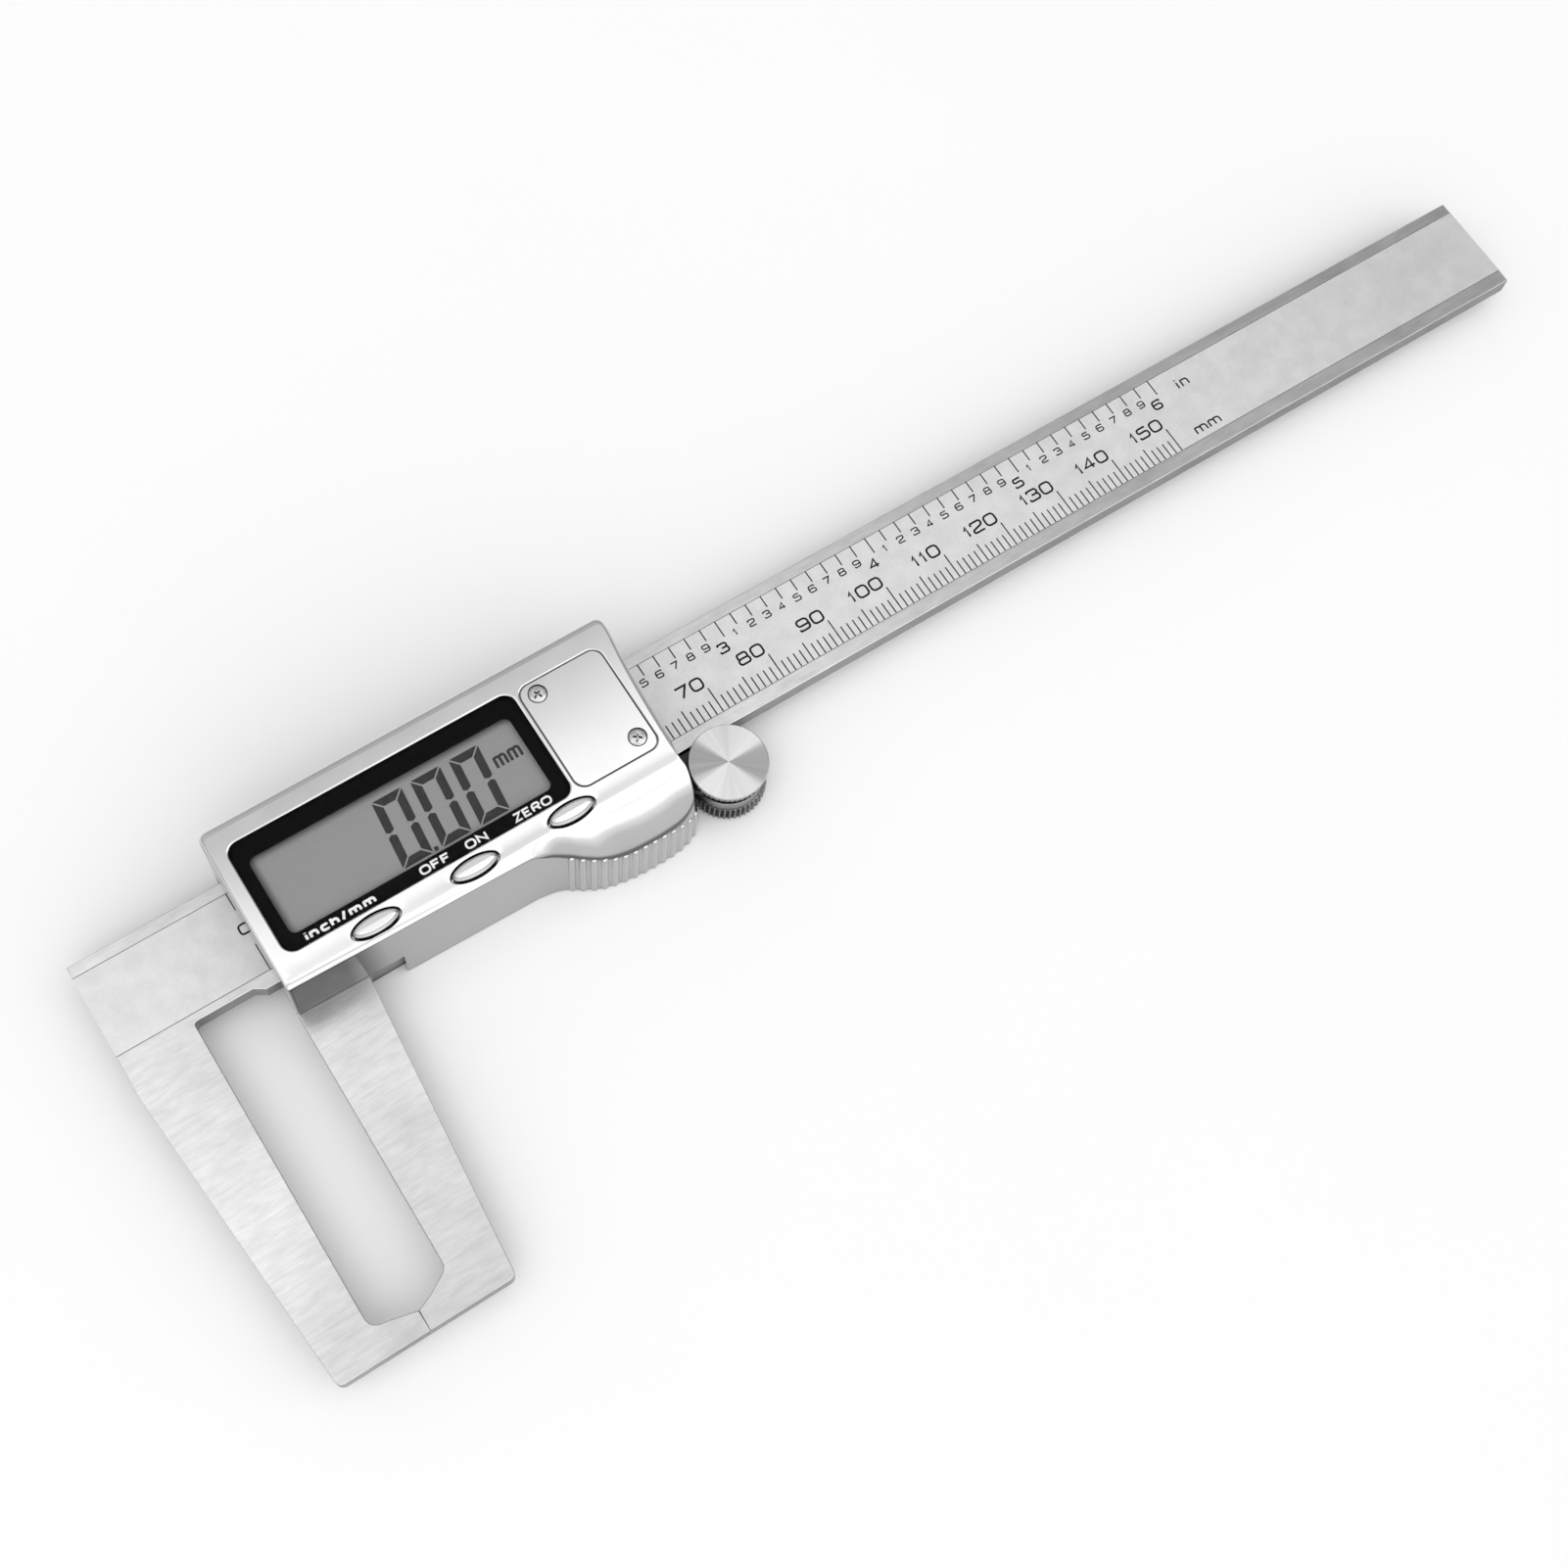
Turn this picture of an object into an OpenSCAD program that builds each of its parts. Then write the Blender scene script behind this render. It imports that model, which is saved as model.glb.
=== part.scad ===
// Electronic slide caliper with long jaws for measuring brake discs, lying on its back.
// Millimetres. +X runs along the beam with the scale, +Y away from the jaws, +Z out of the display.
// The origin is the centre of the slider's back plate, on the plate's outer face.

/* [Beam] */
// Width of the beam between its two guide edges
beam_w = 16; // [14:0.5:20]
// Thickness of the beam and of both jaws
beam_t = 3; // [2.6:0.1:4]
// Measuring range, which is also the slider's travel
travel = 150; // [100:5:300]
// Width of the steel left bare beside the printed scale, display side
edge_back = 1.77; // [1.2:0.01:3]
// Width of the steel left bare beside the printed scale, jaw side
edge_front = 2.08; // [1.2:0.01:3]
// Depth of the groove that takes the scale
scale_depth = 0.6; // [0.5:0.05:0.9]
// Thickness of the printed cover on top of the scale
cover_t = 0.15; // [0.1:0.05:0.3]
// Cut-back of the beam's lower edge beside the fixed jaw
relief = 0.95; // [0.5:0.05:1.5]

/* [Jaws] */
// Reach of the jaws, from the beam's centre line to their tips
jaw_reach = 57; // [45:1:90]
// Width of the fixed jaw where it leaves the beam
fixed_jaw_w = 10.35; // [8:0.05:14]
// Width of the moving jaw where it leaves the casing
moving_jaw_w = 10.3; // [8:0.05:14]
// How far the outer edges of both jaws lean in at the tips
jaw_taper = 3.5; // [1:0.1:5]
// Reach of each tip from its jaw's inner edge to the measuring face
tip_reach = 5.8; // [4:0.1:8]
// Height of the flat measuring face at the tips
face_h = 2.9; // [2:0.1:5]
// Space left between the closed measuring faces
jaw_gap = 0.02; // [0:0.01:0.05]
// Radius of the jaws' outer bottom corners
jaw_corner = 1; // [0.5:0.1:2]

/* [Slider] */
// Height of the casing's face above the beam's face
case_h = 10.8; // [9.5:0.1:14]
// Distance from the beam's edge to the casing's outside, away from the jaws
case_back = 3.35; // [3:0.05:5]
// Distance from the beam's edge to the casing's outside, jaw side
case_front = 5.3; // [5.1:0.05:7]
// Wall thickness of the casing
wall = 1.1; // [0.9:0.05:1.6]
// Thickness of the casing's face
roof = 1.6; // [1.3:0.1:2.4]
// Thickness of the back plate
plate_t = 1.4; // [1:0.1:2]
// Thickness of the frame's web behind the beam
web_t = 2.12; // [1.8:0.02:3]
// Running clearance between beam and frame
slide_gap = 0.08; // [0.03:0.01:0.1]
// Thickness of the brass gib
gib_t = 0.9; // [0.7:0.05:1.2]
// Reading at which the casing's skirt begins, right of the moving jaw
skirt_x = 15.5; // [14:0.5:20]
// How far the thumb grip bulges out of the casing's side
grip_out = 4.2; // [3:0.1:7]
// Number of ribs on the thumb grip
grip_ribs = 14; // [8:1:16]
// Radius of one rib
rib_r = 0.6; // [0.4:0.05:0.7]

/* [Display and buttons] */
// Length of the display window
window_l = 42.05; // [36:0.05:46]
// Width of the display window
window_w = 16.75; // [14:0.05:17.5]
// Black border at the display's left end
border_left = 1.775; // [1:0.025:4]
// Black border at the display's right end
border_right = 1.9; // [1:0.025:4]
// Black border with the switch labels, jaw side of the display
border_front = 2.25; // [1.5:0.025:4]
// Black border on the far side of the display
border_back = 2.6; // [1.5:0.025:4]
// Distance between the buttons
button_pitch = 14.4; // [12:0.1:16]
// Length of a button
button_l = 6.2; // [5:0.1:7]
// Width of a button
button_w = 2.35; // [1.8:0.05:2.7]
// Gap between a button and its hole, all round
button_gap = 0.5; // [0.3:0.05:0.55]
// How far a button's rim stands above the casing's face
button_rise = 0.6; // [0.3:0.05:0.9]
// Travel of a button
button_travel = 0.5; // [0.3:0.05:0.7]

/* [Battery] */
// How much longer the battery cover is than the button cell
hatch_margin = 0.9; // [0.8:0.1:4]
// Width of the battery cover
hatch_w = 16.45; // [15:0.05:17.5]
// Thickness of the battery cover
hatch_t = 1.1; // [0.9:0.1:1.3]
// Diameter of the button cell
cell_d = 11.6; // [9.5:0.1:11.8]
// Height of the button cell
cell_h = 5.4; // [3:0.1:5.6]

/* [Thumb roller] */
// Diameter of the roller's knurled discs
disc_d = 11.1; // [11:0.1:14]
// Diameter of the drum that rolls on the beam's edge
drum_d = 10.2; // [8:0.1:10.4]
// Thickness of the roller's upper disc
disc_t = 2.35; // [1.5:0.05:3]
// Thickness of the roller's lower disc
low_disc_t = 2.5; // [1.5:0.05:2.6]
// Distance of the roller's axis past the end of the casing
roller_out = 5.9; // [5.7:0.1:9]
// Thickness of the arm that carries the roller
arm_t = 1.3; // [0.9:0.05:1.4]

/* [Hidden] */

// clearances: hair between pieces that fit, eps where shapes overlap in one solid
hair = 0.02;
eps = 0.01;

// heights
half = beam_w / 2;
web_bottom = plate_t;
web_top = web_bottom + web_t;
beam_bottom = web_top + slide_gap;
beam_top = beam_bottom + beam_t;
seat_z = beam_top + 0.2;
skirt_z = 0.1;
top_z = beam_top + case_h;
ceiling_z = top_z - roof;
board_t = 1.2;
board_top = seat_z + board_t;
bore_h = 20;

// display, buttons and hatch
window_x = 2.35;
window_y = -half - 0.98;
window_r = 1.7;
glass_x = window_x + border_left;
glass_l = window_l - border_left - border_right;
glass_y = window_y + border_front;
glass_w = window_w - border_front - border_back;
window_t = 0.65;
bezel_t = 0.35;
window_z = top_z - window_t - 0.1;
bezel_z = window_z - bezel_t;
lcd_t = 1.8;
lcd_z = ceiling_z - lcd_t - 0.1;
button_y = -half - 3.15;
button_x = window_x + window_l - 1.8 - 2 * button_pitch;
flange_t = 1.1;
button_z = ceiling_z - flange_t;
hatch_l = cell_d + hatch_margin;
hatch_x = window_x + window_l + 0.75;
hatch_y = -half - 1.1;
hatch_r = 1.6;
cell_x = hatch_x + hatch_l / 2;
cell_y = hatch_y + hatch_w / 2;
contact_t = 0.5;
holder_x = window_x + 0.4;
holder_l = window_l - 0.8;
holder_y = window_y + 0.7;
holder_w = window_w - 1.4;
zebra_w = 1.6;
room_y = holder_y + zebra_w + 2.4;
room_w = holder_w - 6;
chip_l = 9;
chip_w = room_w - 2.85;
chip_t = 1.2;
switch_l = 4;
switch_w = 3;
switch_h = 0.9;
plunger_h = 0.5;

// lengths along the beam, given as scale readings
case_len = hatch_x + hatch_l + 2.55;
origin_shift = -case_len / 2;
frame_x0 = 0.15;
frame_x1 = case_len - 1.6;
stop_l = 2.4;
stop_t = 1.5;
stop_x = frame_x1 + travel + 0.2;
beam_end = stop_x + stop_l + 0.4;
tip_x = -tip_reach + 0.2;
throat_x = tip_x - 6.1;
beam_start = throat_x - fixed_jaw_w;
taper_y = -12.4;
tip_top = -jaw_reach + face_h;

// widths across the beam
back_out = half + case_back;
back_in = back_out - 0.9;
rail_back = back_in - 0.05;
gib_y0 = half + slide_gap / 2;
gib_y1 = gib_y0 + gib_t;
rail_front = -half - 4.6;
case_y = -half - case_front;
post_y = -half - 2.4;
scale_y0 = -half + edge_front;
scale_y1 = half - edge_back;

// roller
roller_x = case_len + roller_out;
roller_y = -half - drum_d / 2 - 0.02;
neck_r = 2.2;
arm_z = beam_top - 1.25;
arm_eye_r = 4.1;
disc_z = arm_z + arm_t + 0.1;
drum_z = beam_bottom - 0.2;
stem_r = 1.4;

// screws, each as [shank radius, head radius, head height], and where they sit
case_screw = [0.9, 1.7, 0.95];
plate_screw = [0.9, 1.8, 0.75];
hatch_screw = [0.7, 1.25, 0.55];
arm_screw = [0.8, 1.3, 0.48];
stop_screw = [0.6, 1, 0.6];
gib_screw_r = 0.9;
boss_bite = 3.9;
case_screw_points = [for (i = [-1:1]) [button_x + button_pitch * (i + 0.5) + (i < 0 ? -2.2 : 0), post_y]];
hatch_screws = [[hatch_x + 2.25, hatch_y + hatch_w - 1.9], [hatch_x + hatch_l - 2.2, hatch_y + 2.4]];
plate_screws = [for (x = [5.1, case_len - 5.1], s = [-1, 1]) [x, s * 6]];
stop_screws_at = [for (s = [-1, 1]) [stop_x + stop_l / 2, s * 3]];
arm_root = 8.6;
arm_screws_at = [for (d = [6.4, 2.4]) [frame_x1 - d, post_y]];
gib_screw_x = [case_len * 0.25, case_len * 0.75];
gib_z = beam_bottom + beam_t / 2;

// Grip outline: distance along it against the scale reading and the depth below the casing's side
grip_x = [[0, case_len - 24.6], [2.5, case_len - 22.2], [4.4, case_len - 20.4],
    [6.5, case_len - 18.6], [9.1, case_len - 16.2], [13.4, case_len - 12], [18, case_len - 7.4],
    [21.3, case_len - 4.1], [23.8, case_len - 1.8], [26, case_len - 0.55], [27.6, case_len - 0.35]];
grip_d = [[0, 0.7], [2.5, 1.1], [4.4, 1.85], [6.5, 2.95], [9.1, 4.05], [13.4, 4.8], [18, 4.95],
    [21.3, 4.65], [23.8, 3.75], [26, 2], [27.6, 0.4]];
// Top of the ribs below the casing's face, against distance along the grip
rib_drop = [[4.4, 5.4], [6.1, 6.2], [7.6, 7.2], [9, 8.2], [10.5, 9.2], [22, 9.3], [24, 9]];
grip_end = 27.6;
grip_scale = grip_out / 4.2;

// Height of the casing's face against distance past the crease line
slope = [[-1, 0], [0, 0], [1, -0.16], [1.7, -0.45], [2.8, -1.25], [3.4, -1.9], [4, -2.7], [5, -4.4],
    [5.8, -6.3], [6.4, -8.1], [7, -9.5], [7.6, -9.7], [12, -9.7]];
crease_y = -half - 3.6;

function arc(cx, cy, r, a0, a1, n) =
    [for (i = [0:n]) [cx + r * cos(a0 + (a1 - a0) * i / n), cy + r * sin(a0 + (a1 - a0) * i / n)]];
function grip_point(t) = [lookup(t, grip_x), case_y - lookup(t, grip_d) * grip_scale];
function slope_z(y) = top_z + lookup(crease_y - y, slope);

module rounded(x, y, l, w, r) {
    polygon(concat(
        arc(x + r, y + r, r, 180, 270, 6), arc(x + l - r, y + r, r, 270, 360, 6),
        arc(x + l - r, y + w - r, r, 0, 90, 6), arc(x + r, y + w - r, r, 90, 180, 6)));
}

module box(x, y, z, l, w, h) {
    translate([x, y, z]) cube([l, w, h]);
}

module peg(x, y, z, r, h, sides = 24) {
    translate([x, y, z]) cylinder(r = r, h = h, $fn = sides);
}

module ellipse_post(x, y, z, l, w, h) {
    translate([x, y, z]) linear_extrude(h)
        polygon([for (i = [0:31]) [l / 2 * cos(i * 11.25), w / 2 * sin(i * 11.25)]]);
}

// Screw that points down from the top of its head at z
module screw_down(p, z, kind, len) {
    peg(p[0], p[1], z - kind[2], kind[1], kind[2]);
    peg(p[0], p[1], z - len, kind[0], len - kind[2] + eps);
}

// Screw that points up from the face of its head at z
module screw_up(p, z, kind, len) {
    peg(p[0], p[1], z, kind[1], kind[2]);
    peg(p[0], p[1], z + kind[2] - eps, kind[0], len - kind[2]);
}

// Clearance hole for a screw, from z upwards, and the sink for its head below or above a face
module screw_hole(p, z, kind, h) {
    peg(p[0], p[1], z, kind[0] + hair, h);
}

module head_sink(p, z, kind, h) {
    peg(p[0], p[1], z, kind[1] + hair, h);
}

module place() {
    translate([origin_shift, 0, 0]) children();
}

// Beam and fixed jaw, one plate with a groove for the scale
module beam_with_fixed_jaw() {
    color([0.78, 0.79, 0.8]) place() difference() {
        translate([0, 0, beam_bottom]) linear_extrude(beam_t) polygon(concat(
            [[beam_end, half], [beam_start, half], [beam_start, taper_y]],
            arc(beam_start + jaw_taper + jaw_corner + 0.05, -jaw_reach + jaw_corner,
                jaw_corner, 184.4, 270, 5),
            [[tip_x, -jaw_reach], [tip_x, tip_top], [tip_x - 3.4, tip_top + 0.85]],
            arc(throat_x + 1.7, tip_top + 2.75, 1.7, 260, 180, 6),
            arc(throat_x + 0.5, -half + relief - 0.5, 0.5, 180, 90, 4),
            [[-3.2, -half + relief], [-2, -half + 0.2], [-1.8, -half], [beam_end, -half]]));
        box(beam_start - 1, scale_y0, beam_top - scale_depth,
            beam_end - beam_start + 2, scale_y1 - scale_y0, scale_depth + 1);
        for (p = stop_screws_at) screw_hole(p, beam_bottom - 1, stop_screw, 2.6);
    }
}

module scale_grid() {
    color([0.45, 0.4, 0.25]) place()
        box(beam_start, scale_y0, beam_top - scale_depth,
            beam_end - beam_start, scale_y1 - scale_y0, scale_depth - cover_t);
}

module scale_cover() {
    color([0.86, 0.86, 0.86]) place()
        box(beam_start, scale_y0, beam_top - cover_t,
            beam_end - beam_start, scale_y1 - scale_y0, cover_t);
}

module travel_stop() {
    color([0.6, 0.6, 0.62]) place() difference() {
        translate([0, 0, beam_bottom - stop_t]) linear_extrude(stop_t)
            rounded(stop_x, -5, stop_l, 10, 0.5);
        for (p = stop_screws_at) {
            screw_hole(p, beam_bottom - stop_t - 1, stop_screw, 4);
            head_sink(p, beam_bottom - stop_t - 1, stop_screw, 1 + stop_screw[2]);
        }
    }
}

module stop_screws() {
    color([0.55, 0.55, 0.57]) place() for (p = stop_screws_at)
        screw_up(p, beam_bottom - stop_t + hair, stop_screw - [0, 0, hair * 2], 2.9);
}

module gib_peg(x, y, r, h) {
    translate([x, y, gib_z]) rotate([-90, 0, 0]) cylinder(r = r, h = h, $fn = 20);
}

// Channel that runs on the beam, with the moving jaw in one piece
module slider_frame() {
    jaw_x = moving_jaw_w + 0.1;
    color([0.76, 0.77, 0.78]) place() difference() {
        union() {
            box(frame_x0, rail_front, web_bottom, frame_x1 - frame_x0, rail_back - rail_front, web_t);
            box(frame_x0, rail_front, web_top - eps, frame_x1 - frame_x0,
                -half - slide_gap / 2 - rail_front, seat_z - web_top + eps);
            box(frame_x0, gib_y1 + slide_gap / 2, web_top - eps, frame_x1 - frame_x0,
                rail_back - gib_y1 - slide_gap / 2, seat_z - web_top + eps);
            translate([0, 0, beam_bottom]) linear_extrude(beam_t) polygon(concat(
                [[0.1, rail_front + 1], [0, case_y]],
                arc(-1.8, tip_top + 3.7, 1.6, 0, -63, 6),
                [[tip_x + jaw_gap + 2, tip_top + 0.82], [tip_x + jaw_gap, tip_top],
                    [tip_x + jaw_gap, -jaw_reach]],
                arc(jaw_x - jaw_taper - jaw_corner - 0.1, -jaw_reach + jaw_corner,
                    jaw_corner, 270, 355.2, 5),
                [[jaw_x, case_y]],
                arc(jaw_x + 1.5, rail_front - 0.5, 1.1, 180, 90, 5),
                [[jaw_x + 1.5, rail_front + 1]]));
        }
        box(frame_x1 - arm_root, rail_front - 1, arm_z, arm_root + 1, -half - rail_front + 1.5, 5);
        for (p = case_screw_points) {
            screw_hole(p, web_bottom - 1, case_screw, bore_h);
            head_sink(p, web_bottom - 1, case_screw, 2);
        }
        for (p = arm_screws_at) screw_hole(p, arm_z - 2.5, arm_screw, 4);
        for (p = plate_screws) screw_hole(p, web_bottom - 1, plate_screw, 2.7);
        for (x = gib_screw_x) gib_peg(x, gib_y1 - 0.5, gib_screw_r + hair, 4);
    }
}

module gib_strip() {
    color([0.75, 0.6, 0.3]) place()
        box(frame_x0 + 2, gib_y0, web_top + 0.05, frame_x1 - frame_x0 - 4, gib_t, beam_t);
}

module gib_screws() {
    color([0.5, 0.5, 0.52]) place() for (x = gib_screw_x)
        gib_peg(x, gib_y1, gib_screw_r, rail_back - gib_y1 - 0.05);
}

module back_plate() {
    color([0.7, 0.71, 0.72]) place() difference() {
        linear_extrude(plate_t) rounded(0.4, rail_front + 0.2, case_len - 2.2 - 0.4,
            rail_back - rail_front - 0.4, 1.2);
        for (p = plate_screws) {
            screw_hole(p, -1, plate_screw, bore_h);
            head_sink(p, -1, plate_screw, 1.05 + plate_screw[2]);
        }
    }
}

module back_plate_screws() {
    color([0.55, 0.55, 0.57]) place() for (p = plate_screws)
        screw_up(p, 0.05, plate_screw, plate_t + 1.6);
}

// Solid outside form of the casing: plan outline cut by a lengthways and a crossways section
module case_form() {
    edge = 1.2;
    corner = 0.9;
    intersection() {
        translate([0, 0, skirt_z]) linear_extrude(top_z) polygon(concat(
            arc(case_len + 0.3 - corner, back_out - corner, corner, 0, 90, 4),
            arc(corner, back_out - corner, corner, 90, 180, 4), [[0, case_y]],
            [for (i = [0:40]) grip_point(i * grip_end / 40)]));
        rotate([90, 0, 90]) linear_extrude(case_len + 5)
            polygon(concat([[back_out, 0]], [[back_out, seat_z]],
                arc(back_out - edge - 0.2, top_z - edge, edge, 0, 90, 5),
                [for (d = [0, 1, 1.7, 2.3, 2.8, 3.4, 4, 4.5, 5, 5.8, 6.4, 7, 7.6, 12])
                    [crease_y - d, top_z + lookup(d, slope)]],
                [[crease_y - 12, 0]]));
        translate([0, 30, 0]) rotate([90, 0, 0]) linear_extrude(80)
            polygon(concat([[case_len + 0.3, 0]],
                arc(case_len - edge, top_z - edge, edge, 0, 90, 5),
                arc(edge + 0.4, top_z - edge, edge, 90, 180, 5), [[0, seat_z], [0, 0]]));
    }
}

module casing() {
    inner_x0 = wall + 0.1;
    inner_x1 = case_len - wall - 0.8;
    color([0.8, 0.8, 0.81]) place() difference() {
        union() {
            difference() {
                case_form();
                box(inner_x0, case_y + wall, seat_z - 1, inner_x1 - inner_x0,
                    back_in - 0.2 - case_y - wall, ceiling_z - seat_z + 1);
                box(frame_x0 - 0.1 - 2, rail_front - 0.05, -1, skirt_x + 2, 1, 1 + seat_z);
                box(-1, case_y - 1, -1, skirt_x + 1, 3 + case_front, seat_z + 1);
                box(-1, rail_front - 0.05, -1, frame_x1 + 1.05, back_in - rail_front + 0.05, seat_z + 1);
                box(frame_x1 - 1, -half - 0.3, -1, 5, beam_w + 0.6, seat_z + 1);
                box(frame_x1 - 1, roller_y - 0.9, arm_z - 0.15, 5, -half - roller_y + 1.4, 5 - 0.85);
                grip_pocket();
            }
            for (p = case_screw_points) peg(p[0], p[1], board_top, 1.9, ceiling_z - board_top + 0.5);
            for (p = hatch_screws) peg(p[0], p[1], ceiling_z - 1.6, 1.5, 1.6 + eps);
            grip_teeth();
        }
        translate([0, 0, bezel_z]) linear_extrude(5)
            rounded(window_x, window_y, window_l, window_w, window_r);
        translate([0, 0, ceiling_z - 1]) linear_extrude(5)
            rounded(window_x + 1, window_y + 1, window_l - 2, window_w - 2, window_r);
        translate([0, 0, top_z - hatch_t]) linear_extrude(5)
            rounded(hatch_x, hatch_y, hatch_l, hatch_w, hatch_r);
        peg(cell_x, cell_y, ceiling_z - 1, cell_d / 2 + 0.05, 5, 40);
        for (p = hatch_screws) screw_hole(p, ceiling_z - 1.6, hatch_screw, 5);
        for (p = case_screw_points) screw_hole(p, board_top - 1, case_screw, 5);
        for (x = gib_screw_x) gib_peg(x, back_in - 0.5, gib_screw_r + 0.4, 3);
        for (i = [0:2]) ellipse_post(button_x + i * button_pitch, button_y, ceiling_z - 1.7,
            button_l + 2 * button_gap, button_w + 2 * button_gap, 5);
    }
}

// Hollow of the thumb grip, open to the back
module grip_pocket() {
    translate([0, 0, -1]) linear_extrude(seat_z + 1.4) polygon(concat(
        [[case_len - 2.1, rail_front - 0.05], [case_len - 19.5, rail_front - 0.05]],
        [for (i = [10:34]) [min(grip_point(i * grip_end / 40)[0], case_len - 2.1),
            grip_point(i * grip_end / 40)[1] + 1.25]]));
}

// Ribs of the thumb grip, each ending in a blunt point on the sloping face
module grip_teeth() {
    for (i = [0:grip_ribs - 1]) {
        t = 4.6 + i * 19.2 / (grip_ribs - 1);
        p = grip_point(t);
        rib_top = min(slope_z(p[1]) - 0.4, top_z - lookup(t, rib_drop) - 0.4);
        peg(p[0], p[1] + 0.12, skirt_z, rib_r, rib_top - skirt_z, 12);
        translate([p[0], p[1] + 0.12, rib_top - eps])
            cylinder(r1 = rib_r, r2 = rib_r * 0.4, h = 0.5, $fn = 12);
    }
}

module casing_screws() {
    color([0.55, 0.55, 0.57]) place() for (p = case_screw_points)
        screw_up(p, web_bottom + 0.05, case_screw - [0, 0, hair], board_top + boss_bite - web_bottom);
}

module display_window() {
    color([0.85, 0.88, 0.9, 0.35]) place() translate([0, 0, window_z]) linear_extrude(window_t)
        rounded(window_x + hair, window_y + hair, window_l - hair * 2, window_w - hair * 2, window_r);
}

module display_bezel() {
    color([0.05, 0.05, 0.05]) place() translate([0, 0, bezel_z]) linear_extrude(bezel_t)
        difference() {
            rounded(window_x + hair, window_y + hair, window_l - hair * 2, window_w - hair * 2, window_r);
            rounded(glass_x, glass_y, glass_l, glass_w, 1);
        }
}

module lcd_panel() {
    color([0.55, 0.57, 0.55]) place()
        box(holder_x + 1, holder_y + 1, lcd_z, holder_l - 2, holder_w - 2, lcd_t);
}

module lcd_holder() {
    color([0.88, 0.88, 0.86]) place() difference() {
        box(holder_x, holder_y, board_top, holder_l, holder_w, ceiling_z - 0.1 - board_top);
        box(holder_x + 1 - hair, holder_y + 1 - hair, lcd_z, holder_l - 2 + hair * 2,
            holder_w - 2 + hair * 2, 5);
        box(holder_x + 2, room_y, board_top - 1, holder_l - 4, room_w, bore_h);
        box(holder_x + 1.5 - hair, holder_y + 1.5 - hair, board_top - 1, holder_l - 3 + hair * 2,
            zebra_w + hair * 2, bore_h);
    }
}

module zebra_strip() {
    color([0.25, 0.25, 0.27]) place()
        box(holder_x + 1.5, holder_y + 1.5, board_top, holder_l - 3, zebra_w, lcd_z - board_top);
}

module circuit_board() {
    color([0.1, 0.35, 0.2]) place() difference() {
        box(wall + 0.2, case_y + wall + 0.1, seat_z, case_len - 2 * wall - 1.1,
            back_in - 0.4 - case_y - wall, board_t);
        for (p = case_screw_points) peg(p[0], p[1], seat_z - 1, 0.95, 3);
    }
}

module chip() {
    color([0.08, 0.08, 0.08]) place()
        box(holder_x + holder_l * 0.2, room_y + room_w / 2 - chip_w / 2, board_top,
            chip_l, chip_w, chip_t);
}

module switches() {
    color([0.3, 0.3, 0.32]) place() for (i = [0:2]) {
        box(button_x + i * button_pitch - switch_l / 2, button_y - 1, board_top,
            switch_l, switch_w, switch_h);
        peg(button_x + i * button_pitch, button_y, board_top + switch_h - eps, 0.9, plunger_h);
    }
}

// One press button: cap with a lengthways ridge, stop flange and stem
module button(i) {
    x = button_x + i * button_pitch;
    cap_z = top_z + button_rise;
    stem_z = board_top + switch_h + plunger_h + 0.05 + button_travel;
    color([0.82, 0.82, 0.83]) place() {
        ellipse_post(x, button_y, button_z, button_l, button_w, cap_z - button_z);
        ellipse_post(x, button_y, cap_z - eps, button_l * 0.86, button_w * 0.5, 0.3);
        ellipse_post(x, button_y, button_z, button_l + 2, 2, flange_t);
        peg(x, button_y, stem_z, 0.9, button_z - stem_z + eps);
    }
}

module button_units() {
    button(0);
}

module button_power() {
    button(1);
}

module button_zero() {
    button(2);
}

module battery_cover() {
    color([0.8, 0.8, 0.81]) place() difference() {
        translate([0, 0, top_z - hatch_t]) linear_extrude(hatch_t)
            rounded(hatch_x + 0.06, hatch_y + 0.06, hatch_l - 0.12, hatch_w - 0.12, hatch_r);
        for (p = hatch_screws) {
            screw_hole(p, top_z - 3, hatch_screw, 5);
            head_sink(p, top_z - 0.05 - hatch_screw[2], hatch_screw, 2);
        }
    }
}

module battery_cover_screws() {
    color([0.7, 0.7, 0.71]) place() for (p = hatch_screws)
        screw_down(p, top_z - 0.05, hatch_screw - [0, 0, hair], top_z - ceiling_z + 1.3);
}

module coin_cell() {
    color([0.78, 0.78, 0.76]) place() {
        peg(cell_x, cell_y, board_top + contact_t, cell_d / 2 - 0.5, cell_h, 40);
        peg(cell_x, cell_y, board_top + contact_t + 0.6, cell_d / 2, cell_h - 0.6, 40);
    }
}

module battery_tray() {
    tray_x0 = max(holder_x + holder_l + 0.1, cell_x - cell_d / 2 - 0.35);
    color([0.12, 0.12, 0.13]) place() difference() {
        box(tray_x0, cell_y - cell_d / 2 - 0.9, board_top,
            min(cell_x + cell_d / 2 + 0.35, case_len - wall - 1) - tray_x0, cell_d + 1.8, cell_h - 0.6);
        peg(cell_x, cell_y, board_top - 1, cell_d / 2 + 0.1, bore_h, 40);
    }
}

// Lower contact under the cell and upper spring leaf between cell and cover
module battery_contacts() {
    leaf_z = board_top + contact_t + cell_h;
    color([0.8, 0.78, 0.7]) place() {
        box(cell_x - 2.5, cell_y - 2, board_top, 5, 4, contact_t);
        box(cell_x - 3, cell_y - 1.5, leaf_z, 6, 3, top_z - hatch_t - leaf_z);
    }
}

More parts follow.
